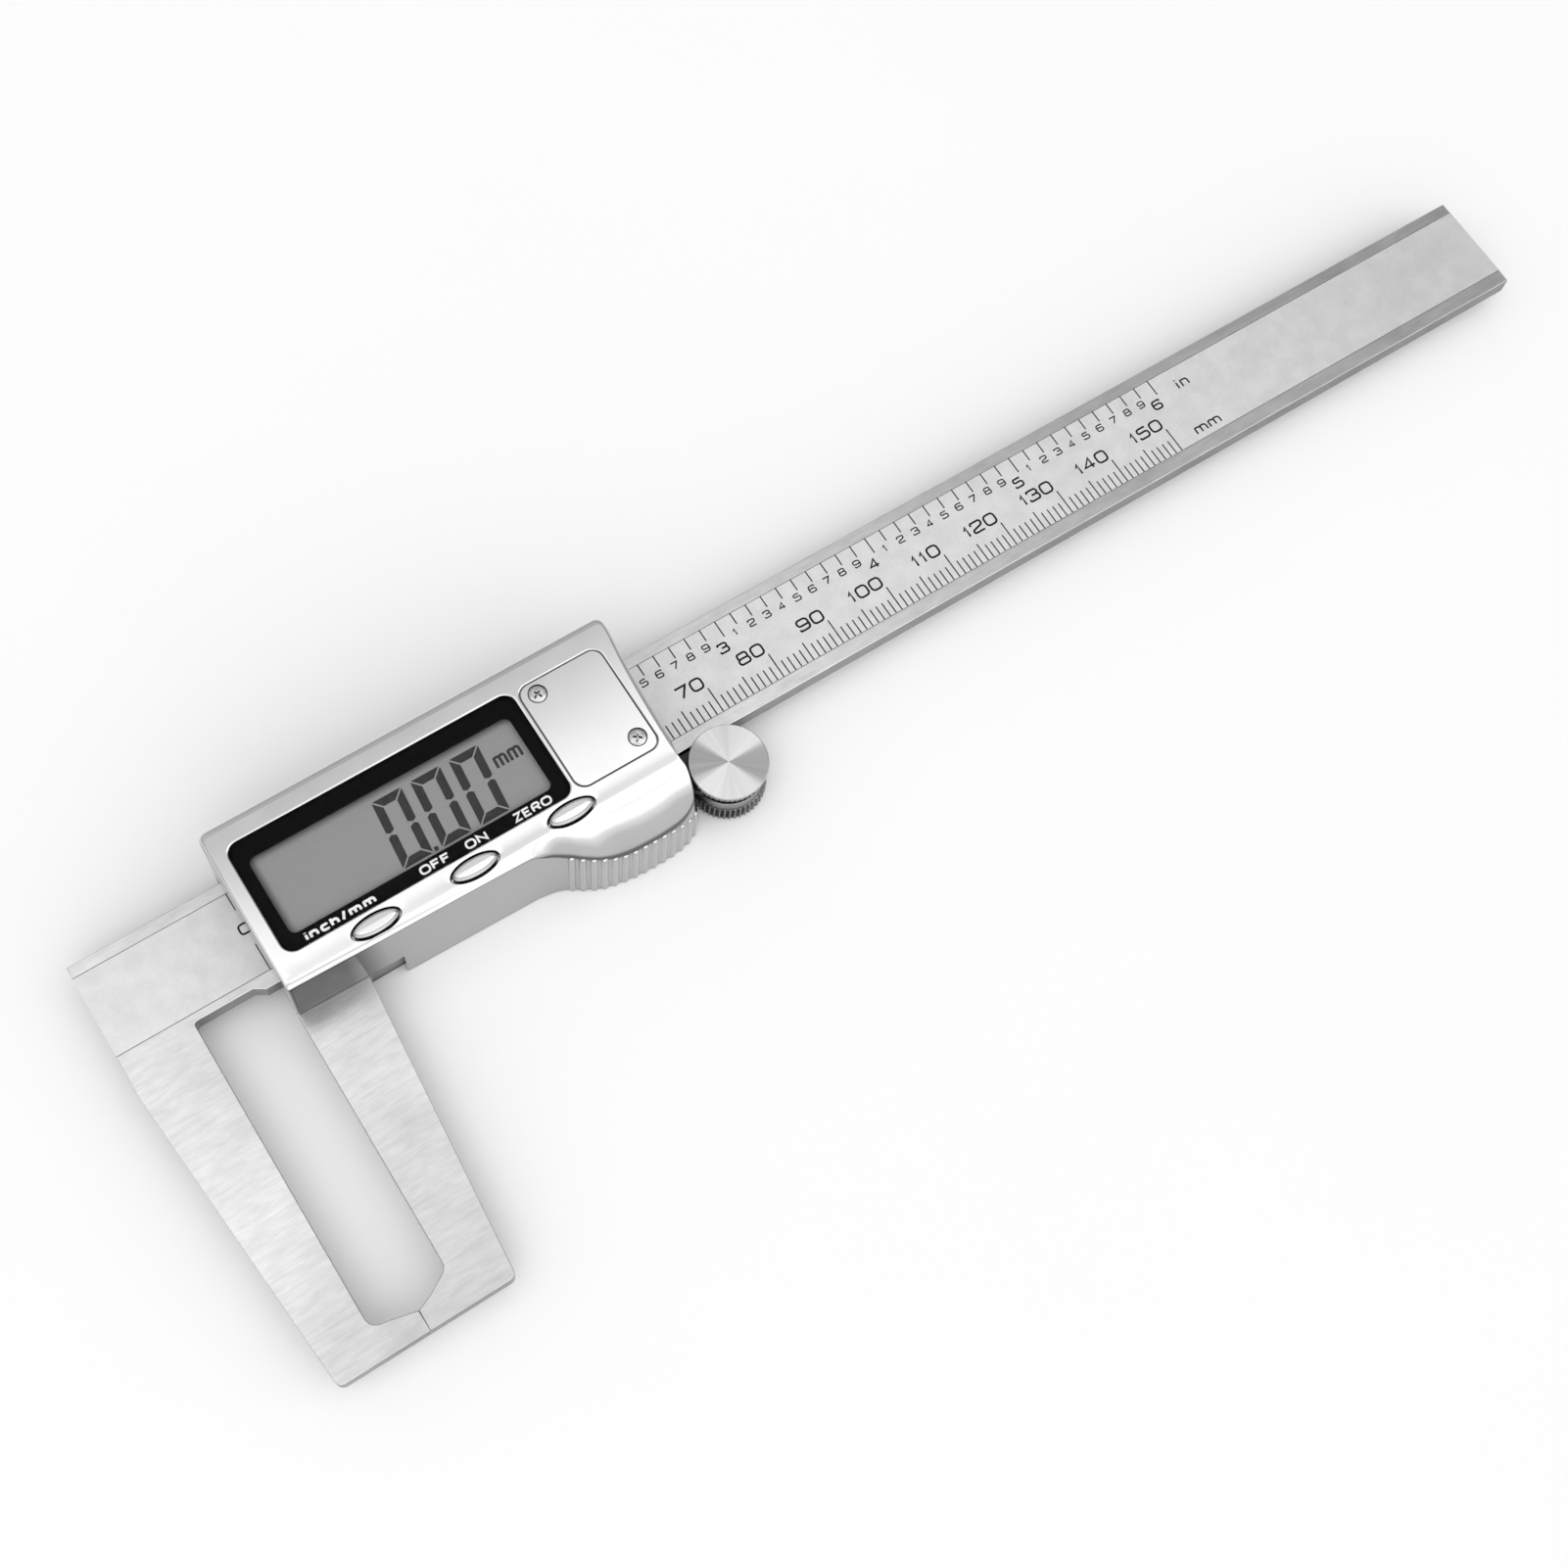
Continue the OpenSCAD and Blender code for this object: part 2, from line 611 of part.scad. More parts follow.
// Arm that holds the roller against the beam's lower edge
module roller_arm() {
    root_x = frame_x1 - arm_root + 0.05;
    color([0.06, 0.06, 0.065]) place() difference() {
        union() {
            translate([0, 0, arm_z]) linear_extrude(arm_t)
                polygon([[root_x, -half - 0.4], [roller_x - 1.6, -half - 0.4],
                    [roller_x + 2.2, roller_y + 3.2], [roller_x, roller_y],
                    [roller_x - 2.2, roller_y - 3.2], [roller_x - 4, roller_y - 2],
                    [frame_x1, rail_front + 0.3], [root_x, rail_front + 0.3]]);
            peg(roller_x, roller_y, arm_z, arm_eye_r, arm_t, 40);
        }
        peg(roller_x, roller_y, arm_z - 1, neck_r + 0.05, arm_t + 2, 40);
        for (p = arm_screws_at) {
            screw_hole(p, arm_z - 1, arm_screw, 4);
            head_sink(p, arm_z + arm_t + 0.08 - arm_screw[2], arm_screw, 4);
        }
    }
}

module arm_screws() {
    color([0.55, 0.55, 0.57]) place() for (p = arm_screws_at)
        screw_down(p, arm_z + arm_t + 0.08, arm_screw - [0, 0, hair], 3.4);
}

// Upper knurled disc with the neck that turns in the arm and the stem below it
module thumb_roller() {
    r = disc_d / 2;
    color([0.75, 0.75, 0.76]) place() translate([roller_x, roller_y, 0])
        rotate_extrude($fn = 64) polygon([[0, drum_z - low_disc_t + 0.5], [stem_r, drum_z - low_disc_t + 0.5],
            [stem_r, arm_z - 0.1], [neck_r, arm_z - 0.1], [neck_r, disc_z], [r - 0.2, disc_z],
            [r, disc_z + 0.2], [r, disc_z + disc_t - 0.25], [r - 0.25, disc_z + disc_t],
            [0, disc_z + disc_t]]);
}

// Drum that rolls on the beam and the lower knurled disc, fitted on the stem
module roller_drum() {
    r = disc_d / 2;
    color([0.72, 0.72, 0.73]) place() translate([roller_x, roller_y, 0])
        rotate_extrude($fn = 64) polygon([[stem_r + hair / 2, drum_z - low_disc_t + 0.5],
            [stem_r + 0.4, drum_z - low_disc_t], [r - 0.2, drum_z - low_disc_t],
            [r, drum_z - low_disc_t + 0.2], [r, drum_z - 0.15], [r - 0.15, drum_z],
            [drum_d / 2, drum_z], [drum_d / 2, arm_z - 0.1], [stem_r + hair / 2, arm_z - 0.1]]);
}

module roller_screw() {
    color([0.55, 0.55, 0.57]) place() peg(roller_x, roller_y, drum_z - low_disc_t - 0.1, 1.3, 0.6, 32);
}

beam_with_fixed_jaw();
scale_grid();
scale_cover();
travel_stop();
stop_screws();
slider_frame();
gib_strip();
gib_screws();
back_plate();
back_plate_screws();
casing();
casing_screws();
display_window();
display_bezel();
lcd_panel();
lcd_holder();
zebra_strip();
circuit_board();
chip();
switches();
button_units();
button_power();
button_zero();
battery_cover();
battery_cover_screws();
coin_cell();
battery_tray();
battery_contacts();
roller_arm();
arm_screws();
thumb_roller();
roller_drum();
roller_screw();
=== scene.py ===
import math

import bpy
import bmesh
import numpy as np
from mathutils import Matrix, Vector
from mathutils.geometry import delaunay_2d_cdt


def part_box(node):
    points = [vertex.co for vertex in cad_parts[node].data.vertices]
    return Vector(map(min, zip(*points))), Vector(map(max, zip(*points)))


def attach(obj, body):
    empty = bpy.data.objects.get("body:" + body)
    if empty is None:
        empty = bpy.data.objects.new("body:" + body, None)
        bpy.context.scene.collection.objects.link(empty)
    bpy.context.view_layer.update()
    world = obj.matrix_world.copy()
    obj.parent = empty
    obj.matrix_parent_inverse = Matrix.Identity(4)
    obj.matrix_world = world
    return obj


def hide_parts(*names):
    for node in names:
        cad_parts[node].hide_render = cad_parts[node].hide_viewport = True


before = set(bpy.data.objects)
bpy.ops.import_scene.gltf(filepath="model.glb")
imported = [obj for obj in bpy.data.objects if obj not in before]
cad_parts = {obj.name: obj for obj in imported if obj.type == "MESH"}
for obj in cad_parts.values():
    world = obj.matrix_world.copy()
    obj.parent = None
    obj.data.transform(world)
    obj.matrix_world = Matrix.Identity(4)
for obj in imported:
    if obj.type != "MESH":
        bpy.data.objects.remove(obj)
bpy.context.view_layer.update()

print("frame loaded:", len(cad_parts), "nodes")

# Every size below is in millimetres. x is the reading on the beam's scale, y runs across the beam
# away from the jaws, z is the height above the beam's printed face.
mm = 0.001
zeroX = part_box("casing")[0].x
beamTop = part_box("beam_with_fixed_jaw")[1].z
beamStart, beamEnd = [(corner.x - zeroX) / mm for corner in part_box("beam_with_fixed_jaw")]


def at(x, y, z):
    return (zeroX + x * mm, y * mm, beamTop + z * mm)


# Outlines

def arc(cx, cy, r, start, end, steps):
    turns = [math.radians(start + (end - start) * i / steps) for i in range(steps + 1)]
    return [(cx + r * math.cos(a), cy + r * math.sin(a)) for a in turns]


def roundedBox(x, y, length, width, r):
    x1, y1 = x + length - r, y + width - r
    corners = ((x + r, y + r, 180), (x1, y + r, 270), (x1, y1, 0), (x + r, y1, 90))
    return [q for cx, cy, turn in corners for q in arc(cx, cy, r, turn, turn + 90, 8)]


def ellipse(cx, cy, halfLength, halfWidth, steps):
    turns = [2 * math.pi * i / steps for i in range(steps)]
    return [(cx + halfLength * math.cos(a), cy + halfWidth * math.sin(a)) for a in turns]


def mitres(before, after, least):
    # for every corner, the shift that moves both of its edges sideways by one
    first, second = [np.stack([-step[:, 1], step[:, 0]], 1) / np.linalg.norm(step, axis=1)[:, None]
                     for step in (before, after)]
    mitre = first + second
    return mitre / np.maximum((mitre * first).sum(1), least)[:, None]


def inset(points, depth):
    # moves a counterclockwise outline inwards, by one depth or by one depth for each point
    p = np.array(points, float)
    depths = np.broadcast_to(np.array(depth, float), (len(p),))
    return p + mitres(p - np.roll(p, 1, axis=0), np.roll(p, -1, axis=0) - p, 0.35) * depths[:, None]


def smoothPath(points, steps):
    # a smooth curve through given points
    p = [np.array(q, float) for q in points]
    p = [2 * p[0] - p[1]] + p + [2 * p[-1] - p[-2]]
    out = []
    for a, b, c, d in zip(p, p[1:], p[2:], p[3:]):
        for t in [k / steps for k in range(steps)]:
            out.append(0.5 * (2 * b + (c - a) * t + (2 * a - 5 * b + 4 * c - d) * t * t
                              + (3 * b - a - 3 * c + d) * t ** 3))
    return [tuple(q) for q in out] + [tuple(p[-2])]


def smoothTable(table, where):
    # cubic interpolation of a short table of pairs
    keys, values = np.array(table, float).T
    slopes = np.gradient(values, keys)
    x = np.clip(np.array(where, float), keys[0], keys[-1])
    i = np.clip(np.searchsorted(keys, x, side="right") - 1, 0, len(keys) - 2)
    h = keys[i + 1] - keys[i]
    t = (x - keys[i]) / h
    return ((1 + 2 * t) * (1 - t) ** 2 * values[i] + t * (1 - t) ** 2 * h * slopes[i]
            + t * t * (3 - 2 * t) * values[i + 1] + t * t * (t - 1) * h * slopes[i + 1])


def inside(points, outline):
    x, y = points[:, 0], points[:, 1]
    result = np.zeros(len(points), bool)
    o = np.array(outline)
    for a, b in zip(o, np.roll(o, -1, axis=0)):
        crosses = (a[1] > y) != (b[1] > y)
        with np.errstate(divide="ignore", invalid="ignore"):
            xx = (b[0] - a[0]) * (y - a[1]) / (b[1] - a[1]) + a[0]
        result ^= crosses & (x < xx)
    return result


def distanceTo(points, outline):
    best = np.full(len(points), 1e9)
    o = np.array(outline)
    for a, b in zip(o, np.roll(o, -1, axis=0)):
        d = b - a
        t = np.clip(((points - a) @ d) / max(d @ d, 1e-12), 0, 1)
        best = np.minimum(best, np.linalg.norm(points - a - t[:, None] * d, axis=1))
    return best


def loopEdges(start, count):
    return [(start + i, start + (i + 1) % count) for i in range(count)]


def triangulated(flat, edges, faces=(), output=0, tolerance=1e-6):
    # triangles over flat points that keep the given edges or faces: points, triangles, their middles
    cdt = delaunay_2d_cdt([Vector(q) for q in flat], edges, list(faces), output, tolerance)
    found = np.array([tuple(v) for v in cdt[0]])
    triangles = np.array([tuple(t) for t in cdt[2]])
    return found, triangles, found[triangles].mean(axis=1)


def whole(triangles):
    return [tuple(int(i) for i in t) for t in triangles]


# Solids as (points, faces)

def ringSolid(rings, closeHigh=True):
    # skin through rings of as many points each, closed at the first ring and at the last
    points, n = [tuple(q) for ring in rings for q in ring], len(rings[0])
    last = (len(rings) - 1) * n
    faces = [(a + i, a + (i + 1) % n, a + n + (i + 1) % n, a + n + i)
             for a in range(0, last, n) for i in range(n)]
    faces.append(tuple(reversed(range(n))))
    if closeHigh:
        faces.append(tuple(range(last, last + n)))
    return points, faces


def atHeight(ring, z):
    return [(q[0], q[1], z) for q in ring]


def plate(outline, low, high, edge=0.12, lowEdge=None, steps=3):
    # extruded outline with rounded upper and lower edges
    lowEdge = edge if lowEdge is None else lowEdge
    outline = [q for i, q in enumerate(outline) if math.dist(q[:2], outline[i - 1][:2]) > 1e-4]
    rings = []
    for i in range(steps + 1 if lowEdge > 0 else 1):
        a = math.pi / 2 * (1 - i / steps)
        rings.append(atHeight(inset(outline, lowEdge * (1 - math.cos(a))), low + lowEdge * (1 - math.sin(a))))
    for i in range(steps + 1 if edge > 0 else 1):
        a = math.pi / 2 * i / steps
        rings.append(atHeight(inset(outline, edge * (1 - math.cos(a))), high - edge * (1 - math.sin(a))))
    return ringSolid(rings)


def boxSolid(x0, y0, z0, x1, y1, z1):
    ring = [(x0, y0), (x1, y0), (x1, y1), (x0, y1)]
    return ringSolid([atHeight(ring, z0), atHeight(ring, z1)])


def revolved(profile, cx, cy, steps, swell=None):
    # profile of (radius, z) from the lower axis point outwards and up to the upper one
    rings = []
    for r, z in profile:
        ring = []
        for i in range(steps):
            a = 2 * math.pi * i / steps
            rr = r if swell is None else swell(r, z, a)
            ring.append((cx + rr * math.cos(a), cy + rr * math.sin(a), z))
        rings.append(ring)
    return ringSolid(rings)


def joined(*solids):
    points, faces = [], []
    for p, f in solids:
        base = len(points)
        points += list(p)
        faces += [tuple(base + i for i in face) for face in f]
    return points, faces


def addObject(name, data):
    made = bpy.data.objects.new(name, data)
    bpy.context.scene.collection.objects.link(made)
    return made


def buildMesh(name, solid, smooth=32):
    mesh = bpy.data.meshes.new(name)
    mesh.from_pydata([at(*q) for q in solid[0]], [], solid[1])
    work = bmesh.new()
    work.from_mesh(mesh)
    bmesh.ops.remove_doubles(work, verts=work.verts, dist=1e-7)
    bmesh.ops.dissolve_degenerate(work, edges=work.edges, dist=1e-8)
    bmesh.ops.recalc_face_normals(work, faces=work.faces)
    work.to_mesh(mesh)
    work.free()
    piece = addObject(name, mesh)
    finishShading(piece, smooth)
    return piece


def finishShading(piece, smooth):
    piece.data.shade_smooth()
    piece.data.set_sharp_from_angle(angle=math.radians(smooth))


def flatFaces(piece):
    # keeps the large faces flat and lets the narrow edges between them turn
    piece.modifiers.new("normals", "WEIGHTED_NORMAL").keep_sharp = True
    return piece


def faceNormals(piece, height):
    # shades a surface given by height(x, y) with its true normals, whatever triangles it is made of
    mesh, slope = piece.data, 0.02
    co = np.array([tuple(v.co) for v in mesh.vertices]) / mm
    x, y, z = co[:, 0] - zeroX / mm, co[:, 1], co[:, 2] - beamTop / mm
    onFace = np.abs(z - height(x, y)) < 0.003
    along = (height(x + slope, y) - height(x - slope, y)) / (2 * slope)
    across = (height(x, y + slope) - height(x, y - slope)) / (2 * slope)
    exact = np.stack([-along, -across, np.ones(len(x))], axis=1)
    exact /= np.linalg.norm(exact, axis=1)[:, None]
    normals = [tuple(n.vector) for n in mesh.corner_normals]
    for face in mesh.polygons:
        if face.normal.z > 0.25 and all(onFace[i] for i in face.vertices):
            for loop in face.loop_indices:
                normals[loop] = tuple(exact[mesh.loops[loop].vertex_index])
    mesh.normals_split_custom_set(normals)
    return piece


def boolean(piece, solid, operation="DIFFERENCE", smooth=32):
    tool = buildMesh(piece.name + "Tool", solid)
    change = piece.modifiers.new("cut", "BOOLEAN")
    change.operation = operation
    change.solver = "EXACT"
    change.object = tool
    bpy.context.view_layer.update()
    result = bpy.data.meshes.new_from_object(piece.evaluated_get(bpy.context.evaluated_depsgraph_get()))
    piece.modifiers.clear()
    old = piece.data
    piece.data = result
    bpy.data.meshes.remove(old)
    bpy.data.objects.remove(tool)
    finishShading(piece, smooth)


def place(piece, body, slot, material, *nodes):
    piece.data.materials.clear()
    piece.data.materials.append(material)
    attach(piece, body)
    if nodes:
        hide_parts(*nodes)


# Node helpers for the finishes and the sky

class Nodes:
    def __init__(self, tree):
        self.tree = tree

    def node(self, kind, inputs=None, **settings):
        made = self.tree.nodes.new("ShaderNode" + kind)
        for key, value in settings.items():
            setattr(made, key, value)
        for key, value in (inputs or {}).items():
            if isinstance(value, bpy.types.NodeSocket):
                self.tree.links.new(value, made.inputs[key])
            else:
                made.inputs[key].default_value = value
        return made

    def calc(self, operation, *values):
        return self.node("Math", dict(enumerate(values)), operation=operation).outputs[0]

    def product(self, first, *others):
        for value in others:
            first = self.calc("MULTIPLY", first, value)
        return first

    def part(self, axis, vector):
        return self.node("SeparateXYZ", {"Vector": vector}).outputs[axis]

    def spread(self, value, low, high, fromLow=0.3, fromHigh=0.7, **settings):
        return self.node("MapRange", {"Value": value, "From Min": fromLow, "From Max": fromHigh,
                                      "To Min": low, "To Max": high}, **settings).outputs["Result"]


class Finish(Nodes):
    def __init__(self, name, **sockets):
        self.material = bpy.data.materials.new(name)
        self.material.use_nodes = True
        super().__init__(self.material.node_tree)
        self.shader = self.tree.nodes["Principled BSDF"]
        for key, value in sockets.items():
            self.shader.inputs[key.replace("_", " ")].default_value = value
        self.coords = self.node("TexCoord").outputs["Object"]

    def link(self, value, socket):
        self.tree.links.new(value, self.shader.inputs[socket])

    def noise(self, scale, detail=3, roughness=0.5, turn=0):
        # scale is in waves for each millimetre, one number or three
        vector = self.coords
        if not isinstance(scale, (int, float)):
            vector = self.node("Mapping", {"Vector": vector, "Scale": tuple(s / mm for s in scale),
                                           "Rotation": (0, 0, math.radians(turn))}).outputs["Vector"]
            scale = mm
        return self.node("TexNoise", {"Vector": vector, "Scale": scale / mm,
                                      "Detail": detail, "Roughness": roughness}).outputs["Fac"]

    def mixed(self, factor, first, second):
        return self.node("MixRGB", {"Fac": factor, "Color1": first, "Color2": second}).outputs["Color"]

    def tinted(self, color, by, factor=1.0):
        return self.node("MixRGB", {"Fac": factor, "Color1": color, "Color2": by},
                         blend_type="MULTIPLY").outputs["Color"]

    def facing(self, axis):
        # how far the surface faces along an axis, from -1 to 1
        return self.part(axis, self.node("NewGeometry").outputs["Normal"])

    def along(self, axis, low, high, start, end):
        # changes from low to high between two places along the beam, X, or across it, Y
        i = "XY".index(axis)
        return self.spread(self.part(axis, self.coords), low, high, at(start, start, 0)[i], at(end, end, 0)[i])

    def ramp(self, value, levels):
        # greys for a rising value
        made = self.node("ValToRGB", {"Fac": value})
        stops = made.color_ramp.elements
        for i, (where, level) in enumerate([levels[0], levels[-1]] + levels[1:-1]):
            stop = stops[i] if i < 2 else stops.new(where)
            stop.position = where
            stop.color = (level, level, level, 1)
        return made.outputs["Color"]

    def byTilt(self, levels):
        # painted shade and light: tone by how level the surface is, 0 for a wall, 1 for a face seen from above or
        # below
        return self.ramp(self.calc("ABSOLUTE", self.facing("Z")), levels)

    def byNook(self, color, reach, low, onTop=True):
        # painted shade: darker where other surfaces stand close; with onTop False, level faces stay as they are
        near = self.node("AmbientOcclusion", {"Distance": reach * mm}, samples=6).outputs["AO"]
        factor = self.spread(near, low, 1, 0.25, 0.9)
        if not onTop:
            factor = self.calc("MAXIMUM", factor, self.spread(self.facing("Z"), 0, 1, 0.3, 0.8))
        return self.tinted(color, factor)

    def bump(self, height, depth):
        # depth in millimetres
        made = self.node("Bump", {"Height": height, "Distance": depth * mm, "Strength": 1.0})
        self.link(made.outputs["Normal"], "Normal")


def grey(level):
    return (level, level, level * 1.005, 1)


steelLook = {
    "level": 0.765, "streak": 0.07, "roughness": (0.26, 0.42), "depth": 0.0012,
    "turn": 4,                              # degrees of the grind off the beam's length
    "drift": [(0.01, 1.0), (0.06, 0.85), (0.46, 0.83), (0.66, 0.7), (1.0, 0.66)],    # tone along the beam
    "tilt": [(0.0, 0.44), (0.2, 0.38), (0.7, 1), (1.0, 1)],
}


def brushedSteel(name, base=steelLook["level"], along=(0.14, 2.6, 2.6), turn=steelLook["turn"]):
    look = steelLook
    made = Finish(name, Metallic=1.0, Anisotropic=0.4)
    streaks = made.noise(along, 5, turn=turn, roughness=0.6)
    cross = made.noise((along[0] * 3, along[1] * 0.5, along[2] * 0.5), 4, turn=-turn * 3)
    cloud = made.noise(0.09, 2)
    half = made.calc("MULTIPLY", made.calc("ADD", streaks, cross), 0.5)
    share = look["streak"] / base
    tone = made.mixed(made.spread(half, 0, 1, 0.36, 0.64), grey(1 - share), grey(1 + share))
    # painted shade: walls darker than level faces
    level = made.byTilt([(where, base * level) for where, level in look["tilt"]])
    # darker along the beam towards its far end, and towards the tips of the jaws
    drift = made.ramp(made.along("X", 0, 1, -22, 212), look["drift"])
    drift = made.tinted(drift, made.along("Y", 0.8, 1, -57, -26))
    # with painted shade on the walls where other surfaces stand close
    made.link(made.tinted(made.tinted(made.byNook(level, 4, 0.25, False), tone), drift), "Base Color")
    made.link(made.spread(cloud, *look["roughness"]), "Roughness")
    made.bump(half, look["depth"])
    return made.material


def plainMetal(name, level, roughness, tint=(1, 1, 1), grain=2.2, depth=0.0008, spreadBy=0.05):
    made = Finish(name, Metallic=1.0)
    grains = made.noise(grain, 4)
    low = tuple(max(c * (level - spreadBy), 0.002) for c in tint) + (1,)
    high = tuple(c * (level + spreadBy) for c in tint) + (1,)
    # painted shade where other surfaces stand close
    made.link(made.byNook(made.mixed(made.spread(grains, 0, 1), low, high), 0.5, 0.25), "Base Color")
    made.link(made.spread(made.noise(grain * 0.3, 2), roughness * 0.85, roughness * 1.15), "Roughness")
    made.bump(grains, depth)
    return made.material


def plastic(name, color, roughness, specular=0.5):
    made = Finish(name, Specular_IOR_Level=specular)
    grains = made.noise(1.2, 4)
    low = tuple(c * 0.85 for c in color) + (1,)
    high = tuple(min(c * 1.12, 1) for c in color) + (1,)
    made.link(made.mixed(made.spread(grains, 0, 1), low, high), "Base Color")
    made.link(made.spread(made.noise(1.2 * 0.4, 2), roughness * 0.85, roughness * 1.15), "Roughness")
    made.bump(grains, 0.002)
    return made.material


steel = brushedSteel("jawSteel")
plainSteel = brushedSteel("plateSteel", 0.5, (0.3, 2.2, 2.2), 1)
screwSteel = plainMetal("screwSteel", 0.62, 0.26)
brass = plainMetal("gibBrass", 0.72, 0.3, tint=(1, 0.76, 0.36))
cellSteel = plainMetal("cellNickel", 0.66, 0.2, grain=0.8)
contactPlate = plainMetal("contactPlate", 0.7, 0.3, tint=(1, 0.93, 0.72))
armBlack = plainMetal("armBlackSteel", 0.035, 0.38, depth=0.002, spreadBy=0.012)
boardGreen = plastic("boardGreen", (0.03, 0.2, 0.08), 0.35)
scaleLaminate = plastic("scaleLaminate", (0.36, 0.3, 0.14), 0.5)
mouldedBlack = plastic("mouldedBlack", (0.02, 0.02, 0.021), 0.45)
holderWhite = plastic("holderWhite", (0.7, 0.7, 0.67), 0.5)
zebraRubber = plastic("zebraRubber", (0.06, 0.06, 0.065), 0.75)
printBlack = plastic("printBlack", (0.012, 0.012, 0.0125), 0.55, specular=0.1)
printGrey = plastic("printGrey", (0.16, 0.16, 0.16), 0.5, specular=0.2)
printWhite = plastic("printWhite", (0.75, 0.75, 0.75), 0.5, specular=0.2)
lcdInk = plastic("lcdInk", (0.036, 0.036, 0.037), 0.5, specular=0.1)
bezelBlack = plastic("bezelBlack", (0.0035, 0.0035, 0.0035), 0.3, specular=0.03)
print("finishes made")

# Casing

casing = {
    "topHeight": 10.8,          # face above the beam
    "length": 60.2,
    "front": -13.26,
    "frontStart": 1.6,          # reading at which the straight front wall begins
    "frontEnd": 34.9,           # and ends, where the grip begins
    "frontSplay": 0.7,          # how much further out the wall is there
    "back": 11.35,
    "low": -6.5,                # lower edge of the skirt
    "seat": 0.2,                # lower edge above the beam and the moving jaw
    "corner": 1.25,
    "backRound": 1.15,          # width of the rounded edge at the back
    "sideRound": 0.62,          # and at both ends
    "smooth": 34,
    "rightRim": [(-19, 57.6), (-17, 58.3), (-16, 58.7), (-15, 58.95), (-14, 59.15), (-13, 59.2), (-11, 59.12),
                 (-8, 59.1), (-5, 59.2), (-2, 59.35), (1, 59.55), (4, 59.82), (6.5, 60.15), (8.5, 60.42),
                 (10, 60.42), (12, 60.4)],      # y and x of the face's right rim
    "drop": [(0, 0.6), (33, 0.68), (34.4, 0.75), (35.6, 1.25), (36.2, 1.9), (37.1, 2.75), (38, 3.5), (39, 4.4),
             (40, 4.95), (41, 5.3), (42, 5.65), (43, 5.95), (44, 6.35), (45, 6.95), (46, 7.4), (47, 7.6),
             (48, 7.6), (50, 7.4), (52, 7.4), (54, 7.7), (56, 8.3), (58, 9.2),
             (60, 9.5)],        # x and fall to the tops of the ribs and of the front wall
    "power": [(33, 2), (36, 1.4), (39, 1.35), (43, 1.7), (47, 2.05)],      # how late the fall sets in
    "crease": -12.1,
    "lean": 0.85,               # width of the band behind the crease that leans back
    "swell": 0.017,             # how much higher the face is in front of that band
    "grip": [(35.6, -14.0), (38.0, -14.4), (39.8, -15.15), (41.6, -16.25), (44.0, -17.35), (48.2, -18.1),
             (52.8, -18.25), (56.1, -17.95), (58.4, -17.05), (59.65, -15.3), (59.95, -13.2)],
    "ribs": 14,
    "ribFrom": 4.6,
    "ribSpan": 19.2,
    "ribRadius": 0.55,
    "ribProud": 0.24,
    "valley": 0.45,             # how much lower the edge is between the ribs
}
gripPath = smoothPath(casing["grip"], 6)
frontSteps = 36


def frontDepth(x):
    # distance from the crease to the wall's foot at each x
    c = casing
    grip = np.array(smoothPath([q for q in c["grip"] if q[0] < 56.2], 6))
    front = np.interp(x, np.concatenate([[0, c["frontEnd"]], grip[:, 0]]),
                      np.concatenate([[c["front"], c["front"] - c["frontSplay"]], grip[:, 1]]))
    return c["crease"] - front


def faceHeight(x, y):
    # flat face, a faint rise at the crease, then a fall towards the thumb grip that steepens
    c = casing
    x, d = np.array(x, float), c["crease"] - np.array(y, float)
    share = np.clip(d, 0, None) / frontDepth(np.minimum(x, 56))
    fall = (smoothTable(c["drop"], np.minimum(x, 50)) - 0.42) * share ** smoothTable(c["power"], x)
    step = c["swell"] * (0.6 + 0.4 * np.clip((x - 17) / 14, 0, 1))
    return c["topHeight"] - fall + step * np.clip((d + c["lean"]) / c["lean"], 0, 1)


def casingOutline(depth=0, atTop=False):
    # plan of the wall's foot, or of the face's rim at a share of its rounded edge; the right side leans in
    c = casing
    lean = 0.1 if atTop else 0
    back, left = c["back"] - depth * c["backRound"] - lean, depth * c["sideRound"] + lean
    front = c["front"] + (0.12 + 0.75 * depth if atTop else 0)
    radius = max(c["corner"] - 0.5 * depth * c["backRound"], 0.45)
    top = back - radius

    def rightAt(y):
        if atTop:
            return float(smoothTable(c["rightRim"], y)) - depth * c["sideRound"]
        return float(np.interp(y, [-13, 9], [59.75, 60.3]))

    right = [(rightAt(y), y) for y in np.linspace(-12.2, top, 26)]
    across = right[-1][0]
    straight = c["frontEnd"] - c["frontStart"]
    return (right[:-1] + arc(across - radius, top, radius, 0, 90, 8)
            + [(across - radius - t * (across - 2 * radius - left), back) for t in np.linspace(0.02, 0.98, 50)]
            + arc(left + radius, top, radius, 90, 180, 8)
            + [(left, top - t * (top - front - 0.6)) for t in np.linspace(0.03, 0.97, 24)]
            + arc(left + 0.6, front + 0.6, 0.6, 180, 268, 6)
            + [(c["frontStart"] + straight * t, c["front"] - c["frontSplay"] * t)
               for t in np.linspace(0, 1, frontSteps)] + gripPath)


def pocketRings(outline, lip, depthTo):
    # rounded mouth and straight wall of an opening in the casing's face, from outside to inside
    rings = []
    for a in (90, 60, 30, 0):
        out = inset(outline, -lip * (1 - math.cos(math.radians(a))))
        drop = lip * (1 - math.sin(math.radians(a)))
        rings.append([(x, y, float(faceHeight(x, y)) - drop) for x, y in out])
    rings.append(atHeight(outline, depthTo))
    return rings


def turnedOut(loop):
    # whether a loop runs anticlockwise, so that a positive inset goes to its inside
    following = np.roll(loop, -1, axis=0)
    return float(np.sum(loop[:, 0] * following[:, 1] - following[:, 0] * loop[:, 1])) > 0


